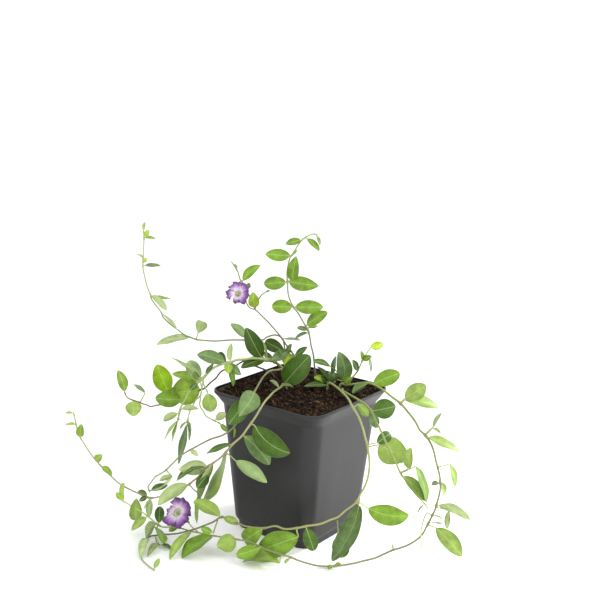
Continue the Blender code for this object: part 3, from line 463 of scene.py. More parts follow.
def ray(col, row):
    """The way from the camera through a column and a row of the picture."""
    right = (col - PICTURE / 2) / FOCAL
    above = (PICTURE / 2 - row) / FOCAL
    across = right * cos(ROLL) - above * sin(ROLL)
    up = right * sin(ROLL) + above * cos(ROLL)
    return Vector((across, cos(TILT) + up * sin(TILT), up * cos(TILT) - sin(TILT)))


def seen(col, row, y):
    """The point at a column and row of the picture, y millimetres behind the pot's axis."""
    way = ray(col, row)
    return EYE + way * ((y * MM - EYE.y) / way.y)


def on_floor(col, row, z):
    """The point at a column and row of the picture, z millimetres above the ground."""
    way = ray(col, row)
    return EYE + way * ((z * MM - EYE.z) / way.z)


def rows_of(text):
    """The rows of a text, which commas part, with its numbers and words."""
    return [[part if part.isalpha() else float(part) for part in row.split()]
            for row in text.split(",") if row]


def path_of(text):
    """The points of a path: a row is as seen takes it, or as on_floor does where floor ends it."""
    return [on_floor(*row[:3]) if row[-1] == "floor" else seen(*row) for row in rows_of(text)]


def mixed(a, b, share):
    """A colour between two others."""
    return tuple(p + (q - p) * share for p, q in zip(a, b))


def shade_at(colours, share):
    """The colour at a share of the way along a row of colours."""
    place = min(max(share, 0.0), 0.9999) * (len(colours) - 1)
    first = int(place)
    return mixed(colours[first], colours[first + 1], place - first)


def smooth_path(points):
    """The points of a stem joined by a smooth curve, at even short steps."""
    ends = [points[0] * 2 - points[1]] + list(points) + [points[-1] * 2 - points[-2]]
    fine = []
    for a, b, c, d in zip(ends, ends[1:], ends[2:], ends[3:]):
        steps = max(2, math.ceil((c - b).length / (STEM_STEP * MM)))
        for step in range(steps):
            t = step / steps
            fine.append(((b * 2) + (c - a) * t + (a * 2 - b * 5 + c * 4 - d) * t * t
                         + (b * 3 - a - c * 3 + d) * t * t * t) * 0.5)
    return fine + [points[-1].copy()]


def frames(points):
    """Side and up directions that follow a path without twisting."""
    made = []
    side = None
    for i in range(len(points)):
        way = (points[min(i + 1, len(points) - 1)] - points[max(i - 1, 0)]).normalized()
        if side is None:
            side = way.orthogonal().normalized()
        side = (side - way * side.dot(way)).normalized()
        made.append((side, way.cross(side)))
    return made


def nearest(points, place):
    """The closest spot on a path, kept a little back from its end."""
    spots = []
    last = points[-1] + (points[-2] - points[-1]).normalized() * MM
    for a, b in zip(points, points[1:-1] + [last]):
        share = (place - a).dot(b - a) / max((b - a).length_squared, 1e-12)
        spots.append(a.lerp(b, min(max(share, 0.0), 1.0)))
    return min(spots, key=lambda spot: (place - spot).length)


def stem_depth(points, col, row):
    """How far behind the pot's axis a stem lies where it is seen at a column and row."""
    way = ray(col, row).normalized()
    spots = [a.lerp(b, step / SPAN_STEPS)
             for a, b in zip(points, points[1:]) for step in range(SPAN_STEPS + 1)]
    return min(spots, key=lambda spot: (spot - EYE).cross(way).length).y / MM


def rod(work, points, start, end, colours, joints=(), sides=STEM_SIDES):
    """A round stem from its first radius to its last, swollen at its joints, closed at both ends."""
    fine = smooth_path(points)
    turns = frames(fine)
    last = len(fine) - 1
    tone = work.verts.layers.float_color["tone"]
    where = work.verts.layers.float_vector["leaf"]

    def by_joints(station, reach):
        """How near a station is to each joint, 1 at the joint and fading over a reach in millimetres."""
        return [math.exp(-(((fine[station] - joint).length / (reach * MM)) ** 2)) for joint in joints]
    made = bmesh.ops.create_grid(work, x_segments=last, y_segments=sides, size=1.0)["verts"]
    long = sum((b - a).length for a, b in zip(fine, fine[1:])) / MM
    for vert in made:
        share = (vert.co.x + 1) / 2
        station = round(share * last)
        side = (vert.co.y + 1) / 2 * sides
        ring = max(by_joints(station, 0.9) + [0])
        vert[tone] = mixed(shade_at(colours, share), JOINT_BROWN, 0.35 * ring)
        vert[where] = Vector((share * long, side, 0.0))
        radius = start + (end - start) * station / last
        radius *= 1 + sum(JOINT_SWELL * near for near in by_joints(station, 1.3))
        radius *= 0.05 if station in (0, last) else 1.0
        turn = 2 * pi * (round(side) % sides) / sides
        across, up = turns[station]
        vert.co = fine[station] + (across * cos(turn) + up * sin(turn)) * (radius * MM)
    bmesh.ops.remove_doubles(work, verts=made, dist=LEAF_WELD)


def blade(work, root, base, tip, facing, width, bend, cup, top, under):
    """A leaf: two grids shaped alike that meet at the edge, and a stalk that runs on as the midrib."""
    tone = work.verts.layers.float_color["tone"]
    where = work.verts.layers.float_vector["leaf"]
    stalked = (root - base).length > STALKED_FROM * MM
    if not stalked:
        base = root
    way = tip - base
    length = way.length
    begin = 0.0 if stalked else min(0.1, 1.2 * MM / length)
    cells = (26, 10) if length > LARGE_LEAF * MM else (18, 8) if length > SMALL_LEAF * MM else (10, 6)
    fold = LEAF_FOLD * draw.uniform(0.6, 1.3) * cup
    arch = LEAF_ARCH * draw.uniform(0.7, 1.3) * cup
    wave = draw.uniform(0.03, 0.09)
    phase = draw.uniform(0, 6.3)
    recurve = draw.uniform(0.01, 0.07)
    sway = draw.uniform(-0.025, 0.025)
    # The outline's powers at its foot and its point; slim and round leaves keep the blunter point
    foot, point = draw.uniform(0.62, 0.76), draw.uniform(0.7, 0.88)
    point = max(point - 0.9 * max(0.2 - abs(width / length - 0.62), 0.0), 0.5)
    widest = foot / (foot + point)

    def leaf_spot(s, v):
        """A point of the leaf's middle surface, s along it and v across it from -1 to 1."""
        t = min(max((s - begin) / (1 - begin), 0.0), 1.0)
        half = width * 0.5 * (t / widest) ** foot * ((1 - t) / (1 - widest)) ** point
        lift = arch * length * 4 * s * (1 - s) - recurve * length * s ** 4
        ripple = wave * v * v * sin(9.5 * s + phase + (1.5 if v > 0 else 0.0))
        lift += half * (fold * abs(v) ** 1.3 + ripple)
        side = (way + bend * (4 * (1 - 2 * s))).cross(facing).normalized()
        middle = base + way * s + bend * (4 * s * (1 - s))
        return middle + side * (half * v + sway * length * sin(pi * s)) + facing * lift
    for face_of in (UPPER, UNDER):
        made = bmesh.ops.create_grid(work, x_segments=cells[0], y_segments=cells[1], size=1.0)["verts"]
        for vert in made:
            u = (vert.co.x + 1) / 2
            s = begin + (1 - begin) * (0.3 * u + 0.35 * (1 - cos(pi * u)))
            v = vert.co.y
            inner = (1 - abs(v) ** 3) * (1 - u ** 6) * min(1.0, u * 8)
            spot = leaf_spot(s, v)
            vert[tone] = top if face_of == UPPER else under
            vert[where] = Vector((s * length / MM, (spot - leaf_spot(s, 0.0)).length / MM, abs(v)))
            vert.co = spot + facing * (LEAF_THICK * 0.5 * inner * face_of * MM)
        for face in {face for vert in made for face in vert.link_faces}:
            face.material_index = 1 if face_of == UPPER else 2
        bmesh.ops.remove_doubles(work, verts=made, dist=LEAF_WELD)
    rib = [leaf_spot(s, 0.0) - facing * (LEAF_THICK * 0.35 * MM) for s in (0.14, 0.34, 0.58, 0.82)]
    thick = STALK_RADIUS if length > SMALL_LEAF * MM else THIN_STALK_RADIUS
    shades = (mixed(under, STALK_GREEN, 0.75), mixed(under, STALK_GREEN, 0.4))
    if stalked:
        arm = [root, root.lerp(base, 0.5) + facing * (0.05 * (base - root).length), base, rib[0]]
        rod(work, arm, thick, 0.8 * thick, shades[:1] * 2, (), SHOOT_SIDES)
    rod(work, rib if stalked else [root] + rib, 0.8 * thick, 0.08, shades, (), SHOOT_SIDES)


def leaf(work, points, row):
    """One leaf of a stem. Its seen width against a true leaf's sets how far it is rolled from the eye."""
    base_col, base_row, tip_col, tip_row, wide, deeper, tone, *bow = row
    lies = deeper == "lie"
    y = stem_depth(points, base_col, base_row)
    base = seen(base_col, base_row, y)
    tip = on_floor(tip_col, tip_row, LYING_TIP) if lies else seen(tip_col, tip_row, y + deeper)
    root = nearest(points, base)
    way = (tip - base).normalized()
    to_eye = (EYE - (base + tip) * 0.5).normalized()
    facing = (to_eye - way * to_eye.dot(way)).normalized()
    across = way.cross(facing)
    length = (tip - base).length
    pixel = (base - EYE).length / FOCAL
    seen_width = wide * pixel
    bend = way.cross(to_eye).normalized() * (sum(bow) * pixel)
    bright = draw.uniform(0.9, 1.08)
    colour = tuple(part * bright for part in linear(TONES[tone.lower()]))
    face = UNDER if tone.isupper() else UPPER
    if face == UPPER:
        top, under = colour, mixed(colour, PALE_GREEN, 0.5)
    else:
        top, under = mixed(colour, DEEP_GREEN, 0.5), colour
    if lies:
        level = (Vector((0, 0, 1)) - way * way.z).normalized()
        width = seen_width * (way - to_eye * way.dot(to_eye)).length / abs(level.dot(to_eye))
        blade(work, root, base, tip, level, min(width, LEAF_BROAD * length), bend, 1.0, top, under)
        return root
    width = max(seen_width, LEAF_SLIM * length)
    roll = math.acos(max(seen_width / width, LEAST_SEEN))
    choices = [facing * cos(roll) + across * (sin(roll) * sign) for sign in (1, -1)]
    facing = max(choices, key=lambda choice: choice.z * face) * face
    blade(work, root, base, tip, facing, width, bend, max(seen_width / width, 0.25), top, under)
    return root


def leaf_skin(name, glossy):
    """Leaf skin from its own tone and places: a pale midrib, side veins and a paler edge."""
    made, tree, shader = surface(name, {"Specular IOR Level": 0.22 if glossy else 0.12})
    tone = add(tree, "Attribute", attribute_name="tone").outputs["Color"]
    where = add(tree, "Attribute", attribute_name="leaf").outputs["Vector"]
    run, off, share = add(tree, "SeparateXYZ", (where,)).outputs
    place = add(tree, "TexCoord").outputs["Object"]
    midrib = add(tree, "MapRange", (off, 0.12, 0.42, 1.0, 0.0), **SOFT_STEP)
    ahead = add(tree, "Math", (off, -1.5, run), operation="MULTIPLY_ADD")
    wander = add(tree, "TexNoise", {"Vector": place, "Scale": 1 / (4 * MM)})
    ahead = add(tree, "Math", (wander, 2.4, ahead), operation="MULTIPLY_ADD")
    count = add(tree, "Math", (ahead, VEIN_SPACING), operation="DIVIDE")
    near = add(tree, "Math", (count, 0.5), operation="PINGPONG")
    vein = add(tree, "MapRange", (near, 0.0, 0.13, 1.0, 0.0), **SOFT_STEP)
    inside = add(tree, "MapRange", (share, 0.6, 0.95, 1.0, 0.0), **SOFT_STEP)
    vein = add(tree, "Math", (vein, inside), operation="MULTIPLY")
    edge = add(tree, "MapRange", (share, 0.93, 1.0, 0.0, 0.22), **SOFT_STEP)
    # Blotches of lighter and darker tone, stronger on the glossy upper skin, and a blade that darkens towards
    # its margin: partly the leaf's own uneven colour, partly painted sheen and painted shade
    patch = add(tree, "TexNoise", {"Vector": place, "Scale": 1 / (4.5 * MM), "Detail": 5.0})
    shade = add(tree, "MapRange", (patch, 0.3, 0.7, *((0.72, 1.24) if glossy else (0.85, 1.12))))
    between = add(tree, "MapRange", (near, 0.0, 0.5, *((1.06, 0.92) if glossy else (1.03, 0.96))))
    outer = add(tree, "MapRange", (share, 0.2, 0.95, 1.06, 0.84))
    for part in (between, outer):
        shade = add(tree, "Math", (shade, part), operation="MULTIPLY")
    body = add(tree, "VectorMath", {0: tone, "Scale": shade}, operation="SCALE")
    pale = add(tree, "Mix", {0: 0.55, 6: tone, 7: linear("#dbe8b4")}, data_type="RGBA")
    rib = add(tree, "Math", (midrib, 0.4 if glossy else 0.35), operation="MULTIPLY")
    side = add(tree, "Math", (vein, 0.13 if glossy else 0.16), operation="MULTIPLY")
    for part in (side, edge):
        rib = add(tree, "Math", (rib, part), operation="MAXIMUM")
    colour = add(tree, "Mix", {0: rib, 6: body, 7: pale.outputs[2]}, data_type="RGBA")
    rough = add(tree, "MapRange", (patch, 0.3, 0.7, *((0.36, 0.48) if glossy else (0.58, 0.68))))
    cells = add(tree, "TexVoronoi", {"Vector": place, "Scale": 1 / (0.55 * MM)})
    quilt = add(tree, "Math", (cells, 0.12, near), operation="MULTIPLY_ADD")
    groove = add(tree, "Math", (midrib, -0.9, quilt), operation="MULTIPLY_ADD")
    bump = add(tree, "Bump", {"Height": groove, "Strength": 0.35, "Distance": 0.22 * MM}, invert=not glossy)
    fill(tree, shader, {"Base Color": colour.outputs[2], "Roughness": rough, "Normal": bump})
    return made


# Waxy upper leaf skin, softly glossy; the matt underside; and stem bark with fine lengthwise ribs
upper_skin = leaf_skin("waxy_upper_leaf", True)
under_skin = leaf_skin("matt_leaf_underside", False)
stem_skin, tree, shader = surface("ribbed_green_stem", {"Roughness": 0.5})
tone = add(tree, "Attribute", attribute_name="tone").outputs["Color"]
where = add(tree, "Attribute", attribute_name="leaf").outputs["Vector"]
long_way = add(tree, "Mapping", {"Vector": where, "Scale": (0.25, 1.3, 1.0)})
streak = add(tree, "TexNoise", {"Vector": long_way, "Scale": 1.0, "Detail": 4.0})
shade = add(tree, "MapRange", (streak, 0.3, 0.7, 0.78, 1.16))
body = add(tree, "VectorMath", {0: tone, "Scale": shade}, operation="SCALE")
bump = add(tree, "Bump", {"Height": streak, "Strength": 0.4, "Distance": 0.2 * MM})
fill(tree, shader, {"Base Color": body, "Normal": bump})


def spray(name, start, end, shades, main, leaves, branches=(), ends=()):
    """One leafy stem with its side shoots, the leaves on each, and the closed ends such as a calyx.

    A leaf's row has the column and row of its foot and of its tip in the picture, its seen width in pixels,
    how far its tip is behind its foot in millimetres, or lie for one on the ground, its tone, a capital for
    a seen underside, and how many pixels its middle bows aside, if it does.
    """
    work = bmesh.new()
    work.verts.layers.float_color.new("tone")
    work.verts.layers.float_vector.new("leaf")
    colours = [linear(shade) for shade in shades.split()]
    x, y, radius = start
    points = [Vector((x, y, SOIL_TOP - STEM_DEPTH)) * MM, Vector((x, y, SOIL_TOP + 2.0)) * MM]
    points += path_of(main)
    joints = [leaf(work, points, row) for row in rows_of(leaves)]
    rod(work, points, radius, end, colours, joints)
    for way, first, last, own in branches:
        points = path_of(way)
        joints = [leaf(work, points, row) for row in rows_of(own)]
        rod(work, points, first, last, (shade_at(colours, 0.6), colours[-1]), joints, SHOOT_SIDES)
    for way, first, last, shade in ends:
        rod(work, path_of(way), first, last, [linear(shade)] * 2, (), CALYX_SIDES)
    piece = finished(name + "_visual", work, [stem_skin, upper_skin, under_skin])
    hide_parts(name)


spray("upper_left_runner", (-6.0, 34.0, 0.6), 0.38, "#74784c #7f8a55 #a3b66c", """
    286 356 34, 283 340 33, 276 335 33, 267 337 32, 262 340 31, 244 340 27, 230 340 23, 215 341 19,
    200 340 15, 195 339 14, 185 335 12, 178 330 10, 170 324 9, 163 317 8, 161 312 7, 152 300 5, 150.5 295 4,
    147 286 3, 145 278 2, 143 268 1, 143 261 1, 143.5 250 0, 144 238 -1, 143.5 230 -2""", """
    144 231 145 222 3 1 y, 144 238 149 230 5 -3 y, 144 238 156 238 3 3 m, 143 258 137 254 2.5 2 p,
    143 262 147 258 4 -3 y, 143 266 161 265 4 3 b, 151 297 171 299 3 4 m, 152 294 168 310 7 -4 P,
    162 313 179 330 3 -3 P, 198 333 203 321 12 -7 P, 190 338 156 343 8 -4 p,
    246 337 230.5 323.5 9 4 S""")

# Upright stem: a pale thin stem that bends over at its tip, with pairs of broad bright leaves that face
# the camera and hang a little from their short stalks.
spray("upright_stem", (10.5, 16.0, 0.65), 0.42, "#6f6c52 #8f8f70 #96a268 #a3b86c", """
    315 372 14, 314 360 13, 313 353 12, 311 345 12, 310 338 11, 308 330 10, 305 325 10, 298 313 8, 294 308 8,
    290 300 8, 288 292 7, 287.5 282 6, 287 274 6, 288 266 5, 290 258 5, 293 254 5, 297 247 4, 302 240 4,
    308 236 4, 313 234 3, 318 235 3""", """
    302 239.5 285.5 244 7.5 -4 m, 306 238 319.5 250.5 6 -5 m, 316 235 320 245 3 -3 m, 293 254 297 250 3 -2 m,
    290 254 265.5 254 12.5 -4 m, 292 281 296 256.5 12.5 -6 m, 288 282 264 283.5 13.5 -2 m,
    290 281 318.5 286 14.5 -5 m, 294 307 272 306 14 -3 m, 296 306 323 307 14 -5 m, 306 326 327 312 12 -4 m,
    308 328 318 326 4 5 m, 307 331 297 327 5 4 b, 308 333 294 338 4 5 o""")

# Flowering stem: it carries the upper flower on a thin bare stalk with a green calyx, and beside it the
# knob of a spent flower.
spent = "255 309 5, 260 297 2, 266 292 1, 269 290.5 1"
pedicel = "255 309.5 5, 250 308 3, 247 304 1, 245.5 301 0"
calyx = "246.5 302.5 0.5, 245.5 301 0, 243.2 298.5 -2"
branches = [(spent, 0.45, 0.42, ""), (pedicel, 0.45, 0.42, "")]
ends = [(calyx, 0.6, 1.3, "#86a45a"), ("266 292 1, 270 290 1", 0.9, 0.8, "#8b9478")]
spray("flowering_stem", (-2.0, 22.0, 0.65), 0.42, "#97a862 #7b7d56 #85845f #93a862", """
    297 372 20, 294 356 17, 289 349 15, 285 343 14, 281 337 13, 276 331 11, 270 324 9, 263 317 7, 257 311 5,
    255 309 5, 251 299 4, 245 287 3, 243 283 3, 240 279 2, 238 272 2, 235 267 1, 231 261 1""", """
    255 308 253 293 11 -7 y, 244 280 260 265 9 -4 m, 245 286 251 285 5 -5 B, 237 270 234 264 3 -2 b,
    284 351 265 341 13 4 d, 292.5 356 307 346.5 6.5 -4 o 2, 289 351 271 360 11 -7 b, 291 367 288 353 14 -6 n,
    287 354 291.5 344 5 -4 b, 284.5 362 280 350.5 7 -9 b, 283 338 300 340 3 -9 b""", branches, ends)

# Left arching stem: a stout pale stem that arches over the left rim, with a side shoot, a hanging shoot
# with a long leaf seen edge on, and one stalked leaf.
stalk = "203 378 -9, 204 385 -11, 208 393 -14"
side = """203 378 -9, 202 388 -13, 200 401 -15, 200 406 -16, 203 411 -17, 206 416 -18, 211 419 -18,
    217 422 -18, 221 424 -18"""
hanging = "202 388 -13, 200 396 -13, 196 400 -14, 192 407 -15, 189 414 -16, 187 424 -17"
branches = [
    (stalk, 0.5, 0.45, "208 392 212 412 15 -4 l"),
    (side, 0.5, 0.42, "214 421 226 413 8 -4 P, 220 423 227 432 5 -2 m"),
    (hanging, 0.5, 0.42, "187 423 176 464 7 -4 o -3, 187.5 422 190 441 3 -2 m, "
     "188 421 191.5 433 2.5 3 m, 188 421 179 429 2.5 -3 P")]
spray("left_arching_stem", (-12.0, 25.0, 1.15), 0.6, "#9aa768 #a7b878 #9fb068", """
    284 371 23, 280 366 20, 275 362 16, 268 360 12, 258 358.5 8, 250 358.5 5, 243 359.5 2, 236 360 0,
    228 364 -3, 223 364 -4, 217 366 -5, 212 369 -7, 208 373 -8, 203 378 -9, 197 383 -10, 192 389 -11,
    188 394 -12, 185 400 -13, 181 407 -14, 179 414 -15, 178 421 -15""", """
    263 357 246 328 17 -2 d, 266 362 241 367 10 -7 d, 268 357 262 340 3 4 P, 267 357 254 356 3 5 o,
    277 360 262.5 354.5 5.5 -3 s, 272 357.5 261 352.5 5 2 d, 229 364 228.5 373 9 -10 y,
    228 367 234 386 6 -4 m, 229 366 241 375 9 -8 b, 230 361 231 343 6 2 P, 228 362 197 353 13 4 b,
    227 361 218 352 9 7 d, 205 376 214 363 4 4 o, 202 378 172 356 3.5 -4 P, 200 377 188 361 14 4 s,
    199 380 194 372 6 -4 B, 198 383 190 390 6 -5 o, 180 413 163 421 7.5 -4 P, 181 410 199 408 6 -4 P,
    178 420 164 440 3 -2 l, 178 420 172 442 3 -5 y""", branches)

# Dark left stem: an old brown woody stem that goes straight out to the left, with a row of broad leaves
# and a thin reddish-brown joint at its tip.
spray("dark_left_stem", (-20.0, 28.0, 0.65), 0.42, "#403a28 #4b4030 #7a684a", """
    250 364 31, 245 361 29, 240 363 27, 235 366 24, 222 371 18, 216 378 14, 210 383 10, 205 388 8, 200 390 6,
    195 394 5, 189 397 4, 180 401 2, 170 404 0, 158 405 -2, 151 406.5 -3, 147 405 -4, 142 403.5 -5,
    139 402 -5, 128 398 -5, 124 391 -5""", """
    125 393 118.5 370 10 4 v, 133 399 134 416.5 16 -6 l, 145 393 134 384 4 3 b, 168 392 157 365 19 -2 g,
    200 382 172 373 10 5 v, 201 387 171 393 28 -3 v, 184 402 155.5 398 16 -5 m,
    172 399 165 385 13 5 l""")

# Left rim runner: a thin runner that crosses the left rim, hangs in front of the left face of the pot and
# ends in a small pair of pale leaves.
spray("left_rim_runner", (-11.0, 14.0, 0.75), 0.42, "#98a468 #74744c #7f7c55 #98a06c", """
    283 370 11, 277 370 5, 270 371 -4, 264 376 -14, 260 382 -24, 256 389 -33, 249 401 -43, 241 415 -47,
    233 428 -47, 223 435 -46, 211 439 -43, 201 444 -41, 190 450 -39, 183 454 -38, 178 458 -37, 171 465 -35,
    166 470 -33, 160 474 -31, 155 477 -29, 152 481 -26, 148 487 -22, 150 492 -18""", """
    256 391 240 415 20 -24 b, 250.5 399.5 229 424 18 -10 o, 234 426 234 438 2.5 -3 m, 190 450 198 456 5 -4 p,
    172 476.5 159 480.5 5.5 -3 P, 151 490.5 172 475.5 3 4 p 4, 150 491 168 485 7 3 B""")

# Front left runner: a long stout runner, pinkish brown in its outer half, from the crown over the front
# left side to the far left tip, where its leaves are small and yellow-green.
spray("front_left_runner", (-10.0, 5.0, 0.78), 0.4, "#98a26c #a5a873 #9c9068 #9c9270 #98a85c", """
    284 384 2, 281 387 -3, 275 391 -14, 270 396 -25, 265 401.5 -37, 260 409 -48, 256 416 -50.5, 252 422 -51.5,
    247 429 -52, 242 436 -51.5, 233 444 -50, 226 452 -49, 220 458 -47, 213 463 -45, 208 466 -44, 203 472 -43,
    197 478 -41, 193 481 -40, 188 485 -38, 178 490 -35, 165 495 -31, 151 498 -28, 140 494 -26, 131 490 -25,
    120 484 -23, 113 478 -22, 106 471 -21, 100 465 -20, 93 457 -18, 88 450 -17, 85 445 -16, 81 439 -15,
    78 432 -14, 76 424 -13, 73.5 412 -12""", """
    284 385 309 356 24 -6 o, 279 387 270 380 4 3 P, 283 386 294 387 4 -6 P, 255 426 290 453 22 -8 d 5,
    243 435 270 464.5 17 -2 b, 236 461 267.5 482 13 -4 S 2, 229 453 200.5 499 12 12 l -9,
    232 444 206 453.5 6 3 o, 214 464 199 499.5 8 6 P, 208 475 197 488 12 -7 d, 206 464.5 179 469.5 15 4 P,
    207 467 190 469 3 -5 o, 196 468 175.5 480 6.5 3 o, 190 484 157 504 13 -6 P, 200 495 196 524 5 -1 m,
    73.5 413 65 413 2.5 -2 y, 76 424.5 64.5 424 3 3 y, 80 438 81.5 424 8 -4 v, 95 460 102 455 8 -6 v,
    101 465 112 476 6 -4 v, 148 497 138 491 6 5 o, 147 497 139 501 5 -5 o, 152 500 149 517 7 -4 s,
    151 499 143 510 2 -2 p""")

# Front runner: a thick pale stem that hangs over the right rim, comes forward in a wide curve and turns
# left across the foot of the pot, with the largest leaves of the plant and a thin end on the ground.
stalk = "218 519 -47, 215 528 -51, 213 534 -55"
twig = "155 535.5 -29, 157 542 1.2 floor, 160 545.5 1.2 floor"
bend = "337.2 520 -57.5, 338 528 -55, 338.5 534 -53"
branches = [
    (stalk, 0.5, 0.45, "213 533 201 528 7 -1 m"),
    (twig, 0.45, 0.42, "158 543 147.5 557 6 lie P, 160 545.4 171.5 549.3 3.5 lie o"),
    (bend, 0.6, 0.5, "338.5 534 343 558 17 -5 o")]
spray("front_runner", (18.0, 3.5, 0.82), 0.5,
      "#8a9560 #97a064 #a0a568 #a0a265 #97985a #7d8450 #6b7446 #59643a #a9ac80", """
    330 383 2, 335 386 -2, 340 390 -10, 345 395 -20, 349 400 -30, 352 406 -39, 356 412 -43, 360 420 -45,
    363 429 -46, 365 437 -46, 367 444 -46, 368.5 452 -45, 369.5 462 -44, 369 472 -44, 367 481 -45,
    364 488 -46, 360 495 -48, 357 501 -49, 352 506 -51, 345 511 -54, 338 517 -57, 330 520 -60, 320 524 -62,
    307 526 -63, 297 528 -63, 285 529 -62, 275 526 -60, 265 528 -58, 255 527.5 -56, 245 526 -54, 240 524 -52,
    232 522 -50, 222 517 -47, 213 522 -46, 203 526 -45, 195 529 -44.5, 180 533 -39, 171 534.2 -31,
    163 534.5 -28.5, 155 535.5 -29, 149.5 536.7 -31, 142 543 -40.5, 140.5 551 -52, 142 559.5 -64,
    148.5 566 -72.5, 155 570.5 -78""", """
    326 384 304 386 5 -4 o, 358 404 369 416.5 9 -10 L, 379 445 408 459 28 4 L, 377 443 391 433 12 8 o,
    359 505.5 330 560 18.5 -15.5 b -6.5, 368.5 508.3 409.3 514.9 20 4 m 4.5, 306 528 314 551 14 -4 o,
    298 537 257 553 25 8 m, 264 529 243 542 18 10 m, 222 517 239 524 8 -4 l, 221 517 194 500 13 -6 L,
    147.5 539.5 140.5 558.5 8 lie p, 154.5 569 159.5 558 5 4 l""", branches)

# Long runner: over the right rim, down to the ground in front and away to the left, where its end turns
# yellow-green, with a hanging thread and the lower flower's stalk and calyx.
thread = "432 516 -44.5, 427 513 -46, 423 522 -48.5, 421 533 -51, 421.5 549 -52"
pedicel = "199 533 -42.5, 192 527 -26, 188.5 522.6 -19.5"
calyx = "189.6 523.2 -18.8, 188 521.7 -19.7, 185.6 519.4 -21.5"
branches = [(thread, 0.45, 0.4, ""), (pedicel, 0.45, 0.45, "")]
ends = [(calyx, 0.6, 1.4, "#7f9c55")]
spray("long_runner", (27.0, 9.0, 0.8), 0.5, "#9aab62 #87924e #868c5a #767c58 #878060 #8f9a5a #c2d872", """
    348 385 7, 355 384 4, 363 383 1.5, 370 383 -1, 377 386 -4.5, 384 390.5 -9, 392 397 -12, 400 403 -15,
    408 412 -19, 415 421 -22, 420 430 -25, 426 436 -27, 431 444 -29, 434 452 -31, 436 461 -33, 438 468 -35,
    440 478 -37, 440.5 487 -39, 439 496 -41, 437 503 -42, 435 510 -44, 431 518 -45, 428 524 -46, 421 536 -43,
    410 544 -46, 400 548 -48, 393 550 -49, 384 554 -52, 375 558 -56, 365 560.5 -59, 350 564 -63.5,
    335 566 -66.5, 320 566 -67, 310 564 -67, 300 561 -68, 290 557 -68, 280 554 -68, 265 549 -64, 255 544 -61,
    247 541 -59, 240 540 -57, 230 538 -54, 215 536 -49, 200 533 -43, 190 531 -38, 180 528 -33, 171 527 -30,
    163 527 -28, 157 524 -27, 150 518 -26, 142 512 -25, 135 508 -24, 128 504 -23, 121 500 -22""", """
    344 386 352 377 6 -4 m, 373 381 400 373 16 4 m, 369 384 352 393 8 -7 B, 405 398 426 385 17 3 l,
    405 400 439.5 407 12 6 l, 433 427 441 412 4 3 p, 433 428 441 433 3 -3 P, 428 436 460.5 451 9 -5 l,
    450 464 456 487 6.5 -4 l, 437 482 445 496 7 5 l, 439 484 431 483.5 5 6 s, 437 505 471 519 9 -5 P,
    449 511 447 529 6 -4 p, 433 515 443 519 2 -3 p, 429 523 443 524 2 -4 p, 436 528 462 556 16 -13 l,
    393 550 392 544 2 1 m, 335 566 328 569 4 lie m, 334 566 341 563 3 2 m, 291 558 286 563 4 lie m,
    214 537 181 556.5 13 lie m, 238 541 216.5 546 18 -2 L, 192 532 169.5 559 8.5 lie l,
    179 528.5 168 530.5 6 4 m, 262 546 236 556 13 -3 m, 279 563 242 561.5 24 lie l, 121 500 116 492 5 3 y,
    121 500 124 483 6 -8 y, 136.5 498.5 135 521.5 12.5 2 l, 147 517 131 530.5 8 -5 l,
    157 523.5 145 537 10 -22 P, 159 524 160 506 9.5 8 o, 157 527.5 163 543.5 8 -20 m""", branches, ends)

# Inner right stem: a leafy green stem that hangs over the right rim inside the curve of the long
# runner, with its broadest leaf where it bends down.
spray("inner_right_stem", (28.0, -3.0, 0.8), 0.48, "#8a9862 #87984f #8fa35a", """
    343 391 -9, 350 395 -19, 358 399.5 -29, 366 405 -38, 372 413 -43, 378 425 -48, 381 431 -50, 386 443 -53,
    391 453 -53, 396 463 -52, 399 470 -50, 403 477 -47, 408 484 -43, 413 491 -40, 418 497 -37, 424 503 -34,
    429 509 -32""", """
    371 411 396 406 20 4 o, 372 411 377 428 10 -5 b, 371 410 371 427 3 3 o, 408 468.5 411 447.5 10 -4 l,
    402.5 475 426 500.5 11.5 -5 l, 415.5 466.5 428.5 503 8 -3 m, 424 504 417 513 2 -3 p""")

# Crown shoot: a short stem that stands in the compost right of the middle, hidden by its own tuft of
# mostly dark, upright leaves.
spray("crown_shoot", (22.0, 14.5, 0.8), 0.5, "#7f9058 #9db568", """
    334 383 12, 336 377 11, 338 371 10""", """
    343 381 338.5 352 15.5 -4 b 3, 330 383 335 356 5 -4 o, 329 381 317 365 5 -5 S, 327 382 314 376 7 -4 o,
    337 382 334 373 9 -7 b, 330 366 313 361 6 -5 o, 325 381.5 314.5 377.5 6 -7 y,
    333 385 329 371.5 6.5 -6 s""")

# Right young shoot: a short thin stem behind the crown, brown below and yellow-green at its tip, where
# its newest leaf is the brightest.
spray("right_young_shoot", (34.0, 16.0, 0.65), 0.42, "#6f6a50 #b7cf6c", """
    357 372 16, 360 366 14, 363 359 12""", """
    363 360 372 356 6 -4 m, 369 358 371 372 3 -3 b, 362 358 361 351 4 -3 m, 371 347 383.5 344 8.5 -3 n,
    358 371 353 360 6 -4 o""")

# Flowers: one violet corolla each, a narrow tube that opens into five broad lobes cut slantwise, with
# ruffled dark edges, a pale star round a greenish throat, and the knob of the stamens inside it.
PETAL_THICK = 0.24
LOBES = 5
LOBE_HALF = 38.0
THROAT = 0.24
TUBE_SIDES = 20
PETAL_WELD = 0.000001
# Where the colour changes from the throat outwards: greenish, whitish, then violet
PETAL_MARKS = ((0.2, "#98a05c"), (0.36, "#e2dcd0"), (0.54, "#dccbe0"), (0.74, "#b189c2"),
               (0.9, "#8a55a0"), (1.0, "#6c3a82"))

